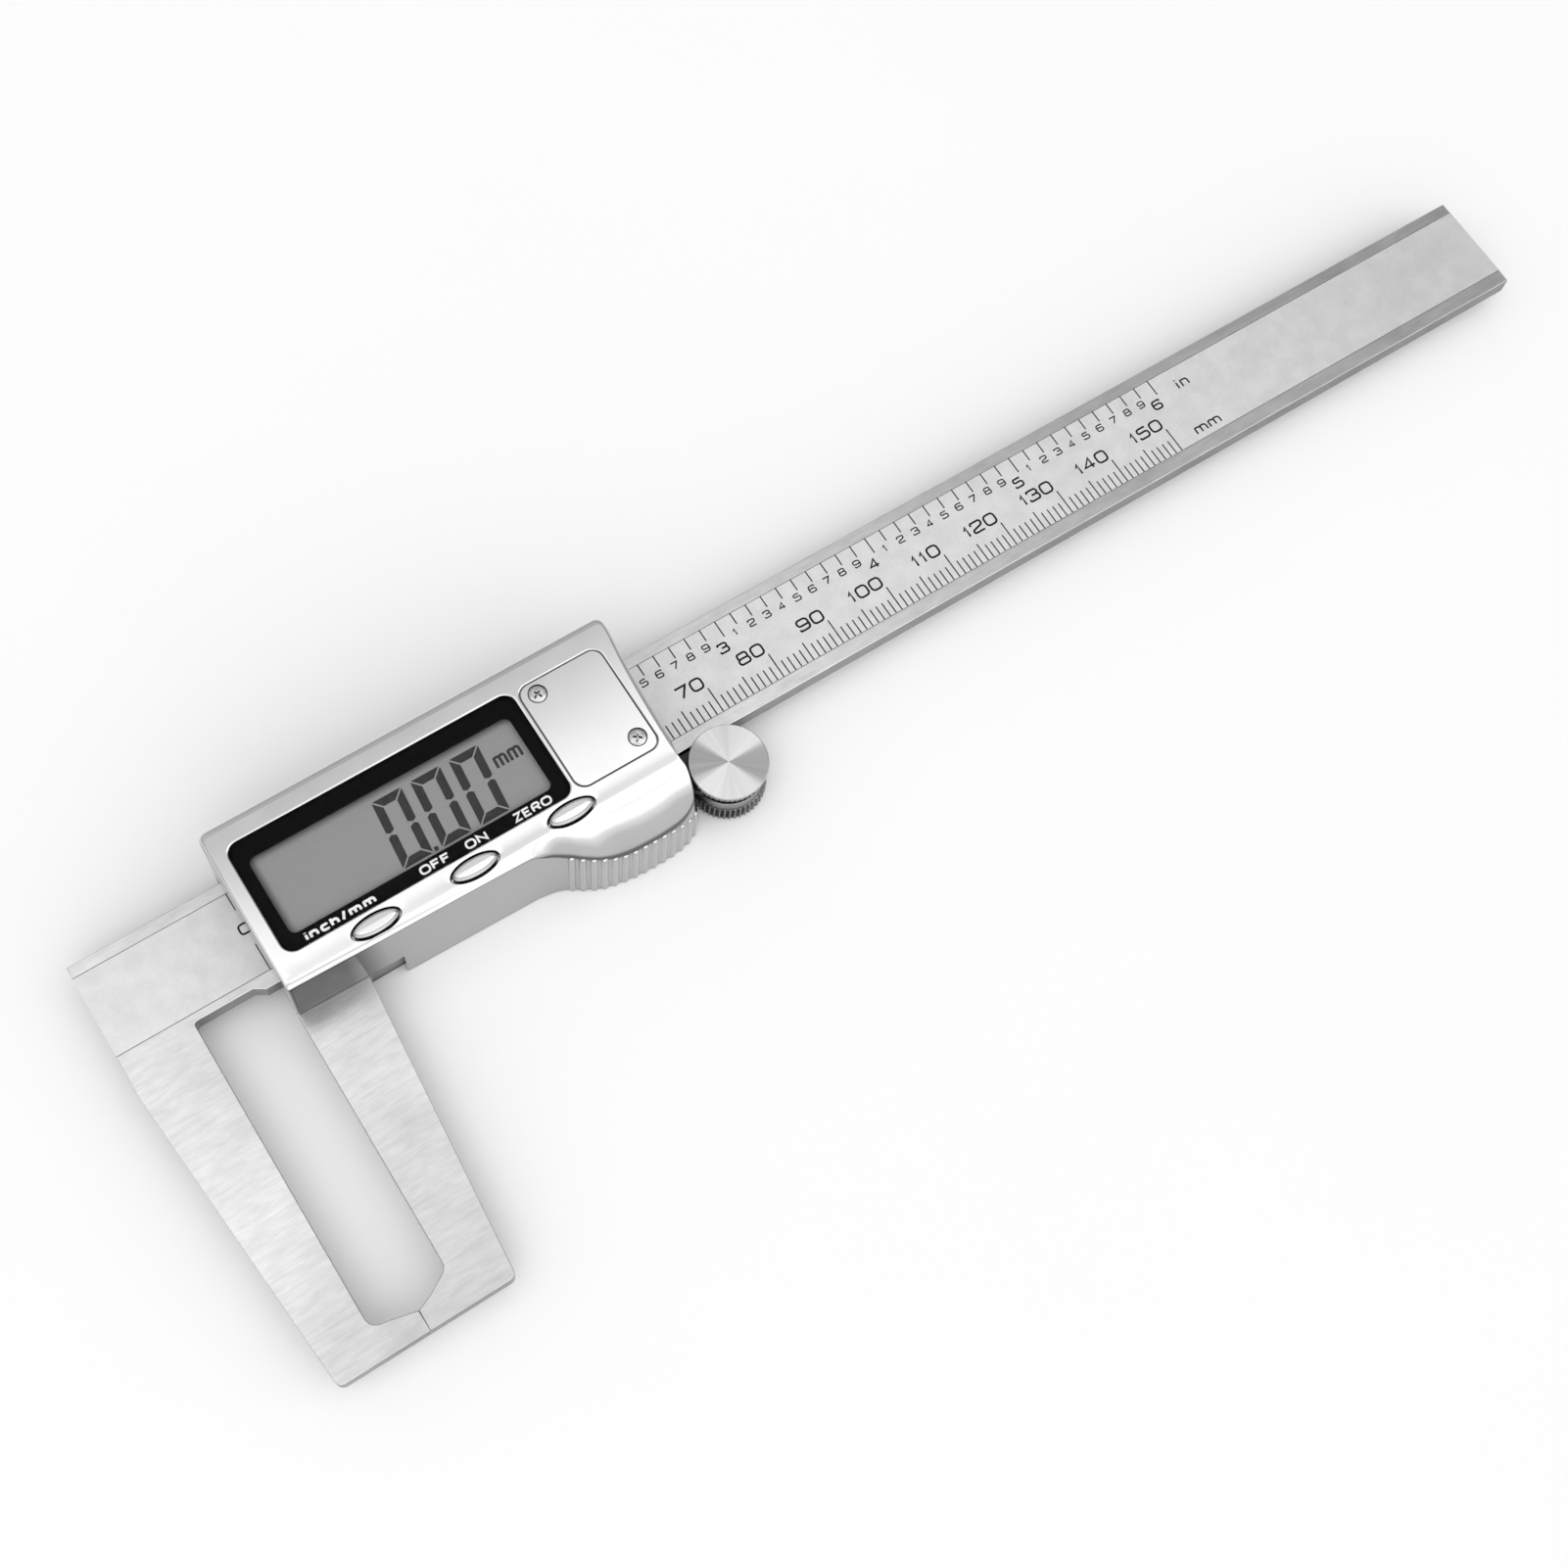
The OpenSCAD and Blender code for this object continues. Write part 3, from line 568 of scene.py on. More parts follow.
def casingRing(turned):
    # one ring of the rounded edge, from 0 where the wall ends to 90 degrees where the face begins
    c, a = casing, math.radians(turned)
    depth, rise = 1 - math.cos(a), 1 - math.sin(a)
    o, foot = np.array(casingOutline(depth, True)), np.array(casingOutline())
    x, y = foot[:, 0], foot[:, 1]
    forward = np.zeros(len(o), bool)
    forward[-len(gripPath) - frontSteps:] = True
    # along the front and the grip the ring follows the wall's foot
    onGrip = np.clip((x - 33.5) / 2.5, 0, 1) * forward
    inwards = 0.75 - 0.35 * onGrip + 0.22 * np.clip((x - 57) / 2, 0, 1)
    moved = inset(foot, 0.12 - 0.04 * onGrip + inwards * depth)
    o = np.where(forward[:, None], moved, o)
    rightmost = smoothTable(c["rightRim"], o[:, 1]) - depth * c["sideRound"] * 0.8
    o[:, 0] = np.where(forward, np.minimum(o[:, 0], rightmost), o[:, 0])
    height = faceHeight(o[:, 0], o[:, 1])
    # height of the edge: deep at the grip, shallow at the ends, with a run from one to the other
    wall = smoothTable(c["drop"], x) - (c["topHeight"] - faceHeight(x, y))
    wall += c["valley"] * np.clip((x - 36) / 1.5, 0, 1)
    atBack = y > c["back"] - 3
    down = np.where(forward, np.clip(wall, 0.35, None), np.where(atBack, 0.95, 0.6))
    side = ~forward & ~atBack
    down[side] = 0.6 + 0.35 * np.clip((y[side] - 4) / 4, 0, 1)
    near = ~forward & (x > 50) & (y < -8)
    down[near] = 0.6 + (down[-1] - 0.6) * np.clip((-8.5 - y[near]) / 3.7, 0, 1) ** 2
    return [(q[0], q[1], h - d * rise) for q, h, d in zip(o, height, down)]


def casingSolid(openings):
    c = casing
    outline = casingOutline()
    rings = [atHeight(outline, c["low"]), atHeight(outline, c["seat"])]
    rings += [casingRing(turned) for turned in np.linspace(0, 90, 11)]
    solids = [ringSolid(rings, closeHigh=False)]
    rim = np.array(rings[-1])[:, :2]
    holes = []
    for opening in openings:
        rings = pocketRings(*opening)
        holes.append(np.array(rings[0])[:, :2])
        solids.append(ringSolid(list(reversed(rings)), closeHigh=False))
    # the face's points: rows that are close together on the slope and at the crease, and wide on the flat
    crease = c["crease"]
    rows = np.concatenate([np.arange(-18.4, crease, 0.42), np.arange(crease, crease + 0.75, 0.09),
                           np.arange(crease + 0.8, c["back"], 1.3)])
    grid = np.array([(x, y) for y in rows for x in np.arange(0.8, c["length"], 1.1 if y > crease + 0.4 else 0.7)])
    keep = inside(grid, rim) & (distanceTo(grid, rim) > 0.3)
    for hole in holes:
        keep &= ~inside(grid, hole) & (distanceTo(grid, hole) > 0.22)
    beside = [inset(rim, 0.12)] + [inset(hole, -0.09 if turnedOut(hole) else 0.09) for hole in holes]
    edges, start = [], 0
    for loop in [rim] + holes:
        edges += loopEdges(start, len(loop))
        start += len(loop)
    found, triangles, middle = triangulated(np.concatenate([rim] + holes + [grid[keep]] + beside), edges)
    use = inside(middle, rim)
    for hole in holes:
        use &= ~inside(middle, hole)
    face = [(x, y, z) for (x, y), z in zip(found, faceHeight(found[:, 0], found[:, 1]))]
    return joined(*solids, (face, whole(triangles[use])))


window = {"x": 2.35, "y": -8.98, "length": 42.05, "width": 16.75, "corner": 1.7, "lip": 0.25}
hatch = {"x": 45.15, "y": -9.1, "length": 12.5, "width": 16.45, "corner": 1.6, "gap": 0.07, "lip": 0.22,
         "low": 10.38, "edge": 0.16}
buttons = {"x": 13.8, "pitch": 14.4, "y": -11.15, "halfLength": 3.22, "halfWidth": 1.2, "gap": 0.3,
           "rim": 0.58, "ridge": 0.12, "lip": 0.14}


def sheetOutline(sheet, gap=0):
    return roundedBox(sheet["x"] - gap, sheet["y"] - gap, sheet["length"] + 2 * gap, sheet["width"] + 2 * gap,
                      sheet["corner"] + gap)


# outline, lip and depth of every opening in the face
openings = [(sheetOutline(window), window["lip"], 9.0), (sheetOutline(hatch, hatch["gap"]), hatch["lip"], 10.4)]
for i in range(3):
    outline = ellipse(buttons["x"] + i * buttons["pitch"], buttons["y"], buttons["halfLength"] + buttons["gap"],
                      buttons["halfWidth"] + buttons["gap"], 72)
    openings.append((outline, buttons["lip"], 8.6))


def ribSolid(x, y, low, high, r):
    turns = np.linspace(0, 2 * math.pi, 25)[:-1]
    rings = [[(x + r * math.cos(b), y + r * math.sin(b), z) for b in turns] for z in (low, high)]
    for a in (15, 30, 45, 60, 75, 87):
        s, h = math.cos(math.radians(a)), math.sin(math.radians(a))
        rings.append([(x + r * s * math.cos(b), y + r * s * math.sin(b), high + 0.9 * r * h) for b in turns])
    return ringSolid(rings)


def gripStations():
    # evenly spaced along the grip, by its arc length, each with the height of its rib's top
    c = casing
    path = np.array(smoothPath(c["grip"], 12))
    run = np.concatenate([[0], np.cumsum(np.linalg.norm(np.diff(path, axis=0), axis=1))])
    found = []
    for s in [c["ribFrom"] + i * c["ribSpan"] / (c["ribs"] - 1) for i in range(c["ribs"])]:
        x, y = np.interp(s, run, path[:, 0]), np.interp(s, run, path[:, 1])
        ahead = np.array([np.interp(s + 0.3, run, path[:, 0]) - x, np.interp(s + 0.3, run, path[:, 1]) - y])
        ahead /= np.linalg.norm(ahead)
        into = (c["ribRadius"] - c["ribProud"]) * np.array([-ahead[1], ahead[0]])
        found.append((x + into[0], y + into[1], c["topHeight"] - float(smoothTable(c["drop"], x))))
    return found


def casingFinish(name, levels, roughness, shade=None, nook=(0.7, 0.3)):
    # satin chrome over a zinc casting, a little cloudy, with a fine grain; its tone by tilt and its darker nooks
    # are painted shade
    made = Finish(name, Metallic=1.0)
    tone = made.mixed(made.spread(made.noise(0.06, 2), 0, 1), grey(0.97), grey(1.0))
    color = made.byNook(made.tinted(made.byTilt(levels), tone), *nook)
    if shade:
        color = shade(made, color)
    made.link(color, "Base Color")
    made.link(made.spread(made.noise(0.25, 3), roughness, roughness * 1.2), "Roughness")
    made.bump(made.noise(3.2, 4), 0.0004)
    return made.material


def frontShade(made, color):
    # painted shade: the front wall is darker where it stands over the moving jaw
    facing = made.spread(made.facing("Y"), 0, 1, -0.6, -0.9)
    return made.mixed(facing, color, made.tinted(color, made.along("X", 0.12, 1.0, 8.0, 13.5)))


def buttonLift(made, color):
    # painted highlight: the half that leans away from the jaws is made brighter
    return made.mixed(made.spread(made.facing("Y"), 0, 1, 0.02, 0.1), color, made.tinted(color, grey(1.35)))


# painted shade and light by tilt: dark bands where the rounded edges turn down, darker walls
chromeTiltShade = [(0.0, 0.41), (0.1, 0.41), (0.17, 0.12), (0.27, 0.12), (0.34, 0.36), (0.42, 0.49), (0.52, 0.52),
                (0.57, 0.68), (0.63, 0.85), (0.74, 0.66), (0.84, 0.59), (0.94, 0.71), (1.0, 0.72)]
ribTiltShade = [(0.0, 0.47), (0.35, 0.42), (0.6, 0.5), (1.0, 0.62)]
buttonTiltShade = [(0.0, 0.1), (0.35, 0.1), (0.5, 0.5), (0.85, 0.55), (0.94, 0.73), (1.0, 0.73)]
satinChrome = casingFinish("satinChrome", chromeTiltShade, 0.12, frontShade)
ribChrome = casingFinish("ribChrome", ribTiltShade, 0.16, nook=(0.6, 0.45))
buttonChrome = casingFinish("buttonChrome", buttonTiltShade, 0.22, buttonLift, nook=(0.16, 0.3))

shell = buildMesh("casingShell", casingSolid(openings), casing["smooth"])
cuts = [boxSolid(1.2, -12.2, -1, 58.3, 10.25, 9.2),                 # the room inside
        boxSolid(-1, -12.65, -8, 58.65, 10.45, casing["seat"]),     # the channel
        boxSolid(-1, -15, -8, 15.5, -10, casing["seat"]),           # the moving jaw
        boxSolid(-1, 0.4, 0, 1.5, 6.1, 0.75),                       # two low notches over the beam
        boxSolid(-1, -5.8, 0, 1.5, -1.5, 0.6),
        boxSolid(57.65, -8.3, -8, 62, 8.3, casing["seat"]),         # the beam, on the right
        boxSolid(57.65, -14.02, -1.4, 62, -7.5, 0.3)]               # the roller's arm
pocket = ([(x, y + 1.25) for x, y in smoothPath(casing["grip"], 4) if 41 < x < 58.4]
          + [(58.1, -12.65), (41.0, -12.65)])
cuts.append(ringSolid([atHeight(pocket, -8), atHeight(pocket, 0.6)]))       # the hollow behind the grip
for cut in cuts:
    boolean(shell, cut, smooth=casing["smooth"])
place(faceNormals(shell, faceHeight), "slider", "casing", satinChrome, "casing")
ribs = [ribSolid(x, y, casing["low"], top - 0.3 * casing["ribRadius"], casing["ribRadius"])
        for x, y, top in gripStations()]
place(buildMesh("gripRibs", joined(*ribs), 40), "slider", "casing", ribChrome)
print("casing made:", len(shell.data.polygons), "faces")

# Battery cover and screws

screws = {"at": [(47.41, 5.47), (55.44, -6.65)], "turns": (28, 52), "radius": 1.24, "height": 0.5, "seat": 0.04,
          "cross": 0.72, "arm": 0.17, "depth": 0.42}


def phillipsHead(x, y, turn):
    # rounded head with a cross recess
    r, arm, cross, top = screws["radius"], screws["arm"], screws["cross"], casing["topHeight"] - screws["seat"]
    outer, shoulder, face = [ellipse(0, 0, r - inwards, r - inwards, 40) for inwards in (0, 0.07, 0.22)]
    crossPoints = []
    for k in range(4):
        a = math.radians(turn + 90 * k)
        ux, uy = (math.cos(a), math.sin(a)), (-math.sin(a), math.cos(a))
        for along, aside in ((arm, -arm), (cross, -arm * 0.75), (cross, arm * 0.75)):
            crossPoints.append((along * ux[0] + aside * uy[0], along * ux[1] + aside * uy[1]))
    edges = loopEdges(0, len(face)) + loopEdges(len(face), len(crossPoints))
    found, triangles, middle = triangulated(face + crossPoints, edges)
    use = inside(middle, face) & ~inside(middle, crossPoints)
    points, faces = joined(
        ([(q[0], q[1], 0) for q in found], whole(triangles[use])),
        ringSolid([atHeight(outer, -screws["height"]), atHeight(outer, -0.2), atHeight(shoulder, -0.07),
                   atHeight(face, 0)], closeHigh=False),
        ringSolid([atHeight([(q[0] * 0.45, q[1] * 0.45) for q in crossPoints], -screws["depth"]),
                   atHeight(crossPoints, 0)], closeHigh=False))
    return [(x + q[0], y + q[1], top + q[2]) for q in points], faces


cover = buildMesh("batteryCover", plate(sheetOutline(hatch), hatch["low"], casing["topHeight"] + 0.01,
                                        hatch["edge"], 0, 4))
for x, y in screws["at"]:
    boolean(cover, revolved([(1.34, 9.8), (1.34, 10.7), (1.5, 12)], x, y, 40))
place(flatFaces(cover), "slider", "casing", satinChrome, "battery_cover")
heads = [phillipsHead(x, y, turn) for (x, y), turn in zip(screws["at"], screws["turns"])]
shanks = [revolved([(0.7, 7.85), (0.7, 10.25)], x, y, 24) for x, y in screws["at"]]
place(buildMesh("coverScrews", joined(*heads, *shanks)), "slider", "screw_steel", screwSteel,
      "battery_cover_screws")
print("battery cover made")

# Buttons


def buttonSolid(x, y):
    # cap with a lengthways ridge, its rim rounded, stop flange and stem
    k = buttons
    a, b = k["halfLength"], k["halfWidth"]
    rim, n = casing["topHeight"] + k["rim"], 72
    rings = [atHeight(ellipse(x, y, a, b, n), 8.25)]
    for inwards, down in ((0, 0.5), (0.03, 0.44), (0.27, 0.17), (0.3, 0.14), (0.32, 0.03), (0.35, 0)):
        rings.append(atHeight(ellipse(x, y, a - inwards, b - inwards, n), rim - down))
    for share in (0.88, 0.6, 0.3, 0.1, 0.01):
        rings.append([(px, py, rim + k["ridge"] * (1 - abs(py - y) / b)) for px, py in
                      ellipse(x, y, (a - 0.36) * share, (b - 0.36) * share, n)])
    flange = plate(ellipse(x, y, a + 0.9, 1, 40), 8.1, 9.2, 0.08)
    stem = revolved([(0.9, 3.35), (0.9, 8.15)], x, y, 24)
    return joined(ringSolid(rings), flange, stem)


for i, name in enumerate(("units", "power", "zero")):
    piece = buildMesh(name + "Button", buttonSolid(buttons["x"] + i * buttons["pitch"], buttons["y"]), 12)
    place(piece, "button_" + name, "button", buttonChrome, "button_" + name)
print("buttons made")

# Lettering: strokes of even width along rounded paths. Each path is a row of x,y points in hundredths
# of the letter's cell, and one that ends where it began is closed.

glyphs = {
    "0": "0,0 100,0 100,100 0,100 0,0", "1": "12,66 62,100 62,0",
    "2": "0,74 0,100 100,100 100,56 0,30 0,0 100,0",
    "3": "2,80 2,100 96,100 96,52 34,52; 50,52 100,52 100,0 0,0 0,22", "4": "72,0 72,100 0,26 100,26",
    "5": "96,100 6,100 3,56 100,60 100,0 0,0 0,20", "6": "98,82 98,100 0,100 0,0 100,0 100,56 4,56",
    "7": "0,100 100,100 30,0", "8": "0,0 100,0 100,52 0,52 0,0; 6,54 6,100 94,100 94,54",
    "9": "96,44 0,44 0,100 100,100 100,0 2,0 2,18", "i": "0,0 0,70; 0,92 0,104",
    "n": "0,0 0,70; 0,50 0,70 100,70 100,0", "m": "0,0 0,70; 0,50 0,70 50,70 50,0; 50,50 50,70 100,70 100,0",
    "c": "100,56 100,70 0,70 0,0 100,0 100,14", "h": "0,0 0,102; 0,45 0,68 100,68 100,0", "/": "0,-5 100,105",
    "O": "0,0 100,0 100,100 0,100 0,0", "F": "100,100 0,100 0,0; 0,52 86,52", "N": "0,0 0,100 100,0 100,100",
    "Z": "0,100 100,100 0,0 100,0", "E": "100,100 0,100 0,0 100,0; 0,52 86,52",
    "R": "0,0 0,100 100,100 100,48 0,48; 55,48 100,0",
}
rounding = {letter: 0 for letter in "147/NZFE"}     # share of the letter's size; 0.3 for the others
rounding["O"] = 0.5


def roundedPath(points, r, closed):
    p = [np.array(q, float) for q in points]
    n, out = len(p), []
    for i in range(n):
        if not closed and i in (0, n - 1):
            out.append(p[i])
            continue
        a, b, c = p[i - 1], p[i], p[(i + 1) % n]
        la, lc = np.linalg.norm(a - b), np.linalg.norm(c - b)
        cut = min(r, la * 0.49, lc * 0.49)
        start, end = b + (a - b) / la * cut, b + (c - b) / lc * cut
        for t in (0, 0.25, 0.5, 0.75, 1):
            out.append((1 - t) ** 2 * start + 2 * t * (1 - t) * b + t * t * end)
    return out


def strokeQuads(path, width, closed):
    p = np.array(path, float)
    p = p[[0] + [i for i in range(1, len(p)) if np.linalg.norm(p[i] - p[i - 1]) > 1e-4]]
    if closed:
        before, after = p - np.roll(p, 1, axis=0), np.roll(p, -1, axis=0) - p
    else:
        step = np.diff(p, axis=0)
        before, after = np.vstack([step[:1], step]), np.vstack([step, step[-1:]])
    aside = mitres(before, after, 0.4) * width / 2
    left, right, n = p + aside, p - aside, len(p)
    return [(left[i], right[i], right[(i + 1) % n], left[(i + 1) % n]) for i in range(n if closed else n - 1)]


def merged(quads, low, high):
    # one flat letter from strokes that overlap
    corners = [tuple(range(4 * i, 4 * i + 4)) for i in range(len(quads))]
    found, triangles, middle = triangulated([q for quad in quads for q in quad], [], corners, 1, 1e-5)
    use = np.zeros(len(triangles), bool)
    for quad in quads:
        use |= inside(middle, quad)
    kept, n = whole(triangles[use]), len(found)
    edges = {(t[i], t[(i + 1) % 3]) for t in kept for i in range(3)}
    walls = [(a, b, b + n, a + n) for a, b in sorted(edges) if (b, a) not in edges]
    points = [(q[0], q[1], z) for z in (low, high) for q in found]
    return points, [tuple(reversed(t)) for t in kept] + [tuple(i + n for i in t) for t in kept] + walls


def word(text, x, y, size, low, high, lean=0, widths={}):
    # (x, y) is the lower left corner of the first letter, its stroke included; size is the letters'
    # width, height, stroke and distance
    width, height, stroke, pitch = size
    solids = []
    for letter in text:
        w = widths.get(letter, width)
        quads = []
        for row in glyphs[letter].split(";"):
            path = [tuple(int(v) / 100 for v in point.split(",")) for point in row.split()]
            closed = path[0] == path[-1]
            scaled = [(x + stroke / 2 + px * (w - stroke) + lean * py * height,
                       y + stroke / 2 + py * (height - stroke)) for px, py in path[:-1 if closed else None]]
            quads += strokeQuads(roundedPath(scaled, min(w, height) * rounding.get(letter, 0.3), closed),
                                 stroke, closed)
        solids.append(merged(quads, low, high))
        x += w + pitch
    return solids


# Scale on the beam

scale = {
    "low": -0.004, "high": 0.006,           # the ink's lower and upper face
    "lowEdge": -5.85, "highEdge": 6.3,
    "tickWidth": 0.19, "shortTo": -3.55, "middleTo": -2.85, "longTo": -1.8,
    "tenthTo": 4.35, "inchTo": 3.6,
    "numeral": (1.98, 2.0, 0.31, 0.27), "numeralBase": -1.56,
    "tenth": (1.18, 1.2, 0.2, 0.2), "tenthBase": 2.84,
    "inch": (1.66, 1.68, 0.29, 0.2), "inchBase": 1.38,
}


def scalePrint():
    s = scale
    low, high, half, inch = s["low"], s["high"], s["tickWidth"] / 2, 25.4
    solids = []
    for n in range(151):
        to = s["longTo"] if n % 10 == 0 else s["middleTo"] if n % 5 == 0 else s["shortTo"]
        solids.append(boxSolid(n - half, s["lowEdge"], low, n + half, to, high))
        if n % 10 == 0 and n:
            text, widths = str(n), {"1": 1.05}
            total = sum(widths.get(t, s["numeral"][0]) for t in text) + s["numeral"][3] * (len(text) - 1)
            solids += word(text, n - 0.08 - total, s["numeralBase"], s["numeral"], low, high, widths=widths)
    for n in range(61):
        x = n * inch / 10
        to = s["tenthTo"] if n % 10 else s["inchTo"]
        solids.append(boxSolid(x - half, to, low, x + half, s["highEdge"], high))
        if n == 0:
            solids += word("0", -1.05, -0.06, (1.66, 1.66, 0.27, 0.2), low, high)
        elif n % 10 == 0:
            solids += word(str(n // 10), x - 1.9, s["inchBase"], s["inch"], low, high, widths={"1": 0.95})
        else:
            solids += word(str(n % 10), x - 1.22, s["tenthBase"], s["tenth"], low, high,
                           widths={"1": 0.7, "4": 1.05})
    solids += word("in", 155.85, 2.62, (1.35, 1.75, 0.26, 0.45), low, high, widths={"i": 0.3})
    solids += word("mm", 153.6, -5.05, (2.15, 1.7, 0.26, 0.32), low, high)
    return joined(*solids)


printed = buildMesh("scalePrint", scalePrint())
place(printed, "beam", "scale_print", printBlack)
borders = [boxSolid(beamStart + 0.02, edge - width, scale["low"], beamEnd - 0.02, edge, 0.005)
           for edge, width in ((scale["highEdge"], 0.11), (-5.84, 0.06))]
place(buildMesh("scaleBorders", joined(*borders)), "beam", "scale_print", printGrey)
print("scale printed:", len(printed.data.polygons), "faces")

# Beam with the fixed jaw

jaws = {"reach": -57, "face": 2.9, "tip": -5.6, "throat": -11.7, "fixedWidth": 10.35, "taper": 3.5,
        "gap": 0.02, "movingWidth": 10.4, "edge": 0.13, "thick": 3, "beamHalf": 8}


def fixedJawOutline():
    j, half = jaws, jaws["beamHalf"]
    start = j["throat"] - j["fixedWidth"]
    top = j["reach"] + j["face"]
    return ([(beamEnd, half), (start, half), (start, -12.4)]
            + arc(start + j["taper"] + 1.05, j["reach"] + 1, 1, 184.4, 270, 8)
            + [(j["tip"], j["reach"]), (j["tip"], top), (j["tip"] - 3.4, top + 0.85)]
            + arc(j["throat"] + 1.7, top + 2.75, 1.7, 260, 180, 10)
            + arc(j["throat"] + 0.5, -half + 0.45, 0.5, 180, 90, 6)
            + [(-3.2, -half + 0.95), (-2, -half + 0.2), (-1.8, -half), (beamEnd, -half)])


beam = buildMesh("beamWithFixedJaw", plate(fixedJawOutline(), -jaws["thick"], 0, jaws["edge"]))
boolean(beam, boxSolid(beamStart - 1, -5.97, -0.6, beamEnd + 1, 6.28, 1))       # the groove for the scale
place(flatFaces(beam), "beam", "steel", steel, "beam_with_fixed_jaw")

# Slider channel with the moving jaw


def movingJawOutline():
    j = jaws
    top, w, tip = j["reach"] + j["face"], j["movingWidth"], j["tip"] + j["gap"]
    return ([(0.15, -12), (0, -13.3)] + arc(-1.8, top + 3.7, 1.6, 0, -63, 10)
            + [(tip + 2, top + 0.82), (tip, top), (tip, j["reach"])]
            + arc(w - j["taper"] - 1.1, j["reach"] + 1, 1, 270, 355.2, 8)
            + [(w, -13.3)] + arc(w + 1.5, -13.1, 1.1, 180, 90, 6) + [(w + 1.5, -12), (w + 1.5, -9), (0.15, -9)])


channel = buildMesh("sliderChannel", plate(movingJawOutline(), -jaws["thick"], 0, jaws["edge"]))
for solid in (boxSolid(0.15, -12.6, -5.2, 58.6, 10.4, -3.08),           # web below the beam
              boxSolid(0.15, -12.6, -3.2, 58.6, -8.04, 0.2),            # side towards the jaws
              boxSolid(0.15, 8.98, -3.2, 58.6, 10.4, 0.2)):             # side away from them
    boolean(channel, solid, "UNION")
boolean(channel, boxSolid(50, -13.6, -1.25, 60, -6.5, 3))               # seat of the roller's arm
place(flatFaces(channel), "slider", "steel", steel, "slider_frame")
print("beam and jaws made")

# Roller

roller = {"x": 66.1, "y": -13.12, "radius": 5.55, "teeth": 46, "toothDepth": 0.5,
          "shadedSectorTowards": -33, "shadedSectorShare": 0.52}          # the painted darker sectors of the turned face's reflection


def rollerSolids():
    k = roller

    def knurl(radius, z, a):
        # teeth with rounded ends; only the widest part of the profile is cut
        if radius < k["radius"] - 0.2 or z > 1.3:
            return radius
        return radius - k["toothDepth"] * (0.5 - 0.5 * math.cos(k["teeth"] * a)) ** 1.1

    upper = [(0.01, -5.2), (1.4, -5.2), (1.4, -1.35), (2.2, -1.35), (2.2, 0.15), (4.9, 0.15), (5.2, 0.18),
             (5.4, 0.4), (5.47, 0.55), (5.47, 1.2), (5.3, 1.32), (5.3, 1.44), (5.5, 1.5), (5.55, 1.55),
             (5.55, 1.68), (5.5, 1.79)] + [(r, 1.85) for r in (5.42, 4.9, 3, 1.4, 0.5, 0.01)]
    lower = [(1.41, -5.7), (1.9, -5.7), (1.95, -6.3), (4.9, -6.3), (5.2, -6.25), (5.4, -6.1), (5.52, -5.9),
             (5.55, -3.65), (5.5, -3.4), (5.38, -3.25), (5.25, -3.2), (5.1, -3.18), (5.1, -1.5), (4.95, -1.35),
             (1.41, -1.35)]
    return [revolved(profile, k["x"], k["y"], k["teeth"] * 8, knurl) for profile in (upper, lower)]


def turnedFinish(name, level, reach=1.2):
    # concentric turning marks, with a painted reflection of lighter and darker sectors; the sides and the nooks
    # are painted darker
    made = Finish(name, Metallic=1.0, Anisotropic=0.8, Roughness=0.28)
    moved = made.node("VectorMath", {0: made.coords, 1: at(roller["x"], roller["y"], 0)},
                      operation="SUBTRACT").outputs["Vector"]
    x, y = made.part("X", moved), made.part("Y", moved)
    flat = made.node("CombineXYZ", {"X": x, "Y": y}).outputs["Vector"]
    radius = made.node("VectorMath", {0: flat}, operation="LENGTH").outputs["Value"]
    around = made.calc("ARCTAN2", y, x)
    rings, rays = [made.node("TexNoise", {"W": value, "Scale": waves, "Detail": detail},
                             noise_dimensions="1D").outputs["Fac"]
                   for value, waves, detail in ((radius, 5.5 / mm, 3.0), (around, 5.0, 4.0))]
    fine = made.spread(made.calc("ADD", made.calc("MULTIPLY", rings, 0.35), rays), 0.93, 1.07, 0.45, 0.9)
    turned = made.calc("SUBTRACT", around, math.radians(roller["shadedSectorTowards"]))
    wave = made.calc("ABSOLUTE", made.calc("COSINE", turned))
    paintedSectors = made.spread(wave, 1.0, roller["shadedSectorShare"], 0.74, 0.94, interpolation_type="SMOOTHSTEP")
    onTop = made.spread(made.facing("Z"), 0, 1, 0.9, 0.99)
    level = made.mixed(onTop, grey(level * 0.62), grey(level))
    streaked = made.tinted(level, made.calc("MULTIPLY", paintedSectors, fine), onTop)
    made.link(made.byNook(streaked, reach, 0.1), "Base Color")
    across = made.node("VectorMath", {0: made.node("CombineXYZ", {"Z": 1.0}).outputs["Vector"], 1: flat},
                       operation="CROSS_PRODUCT")
    made.link(across.outputs["Vector"], "Tangent")
    made.bump(rings, 0.0008)
    return made.material


upperRoller, lowerRoller = rollerSolids()
place(buildMesh("thumbRoller", upperRoller, 26), "roller", "roller_steel", turnedFinish("turnedSteel", 0.66),
      "thumb_roller")
# the drum's steel is a darker copy of the roller's, painted shade for its place under the upper disc
place(buildMesh("rollerDrum", lowerRoller, 26), "roller", "roller_steel", turnedFinish("drumSteelShaded", 0.4, 3.5),
      "roller_drum")
print("roller made")

# Display

lcdTop = 9.1
bezelTop = 10.06
digit = {"x": 20.5, "pitch": 5.72, "low": -6.1, "height": 10.1, "width": 4.4, "stroke": 1.2, "lean": 0.09,
         "gap": 0.11, "thick": 0.01}


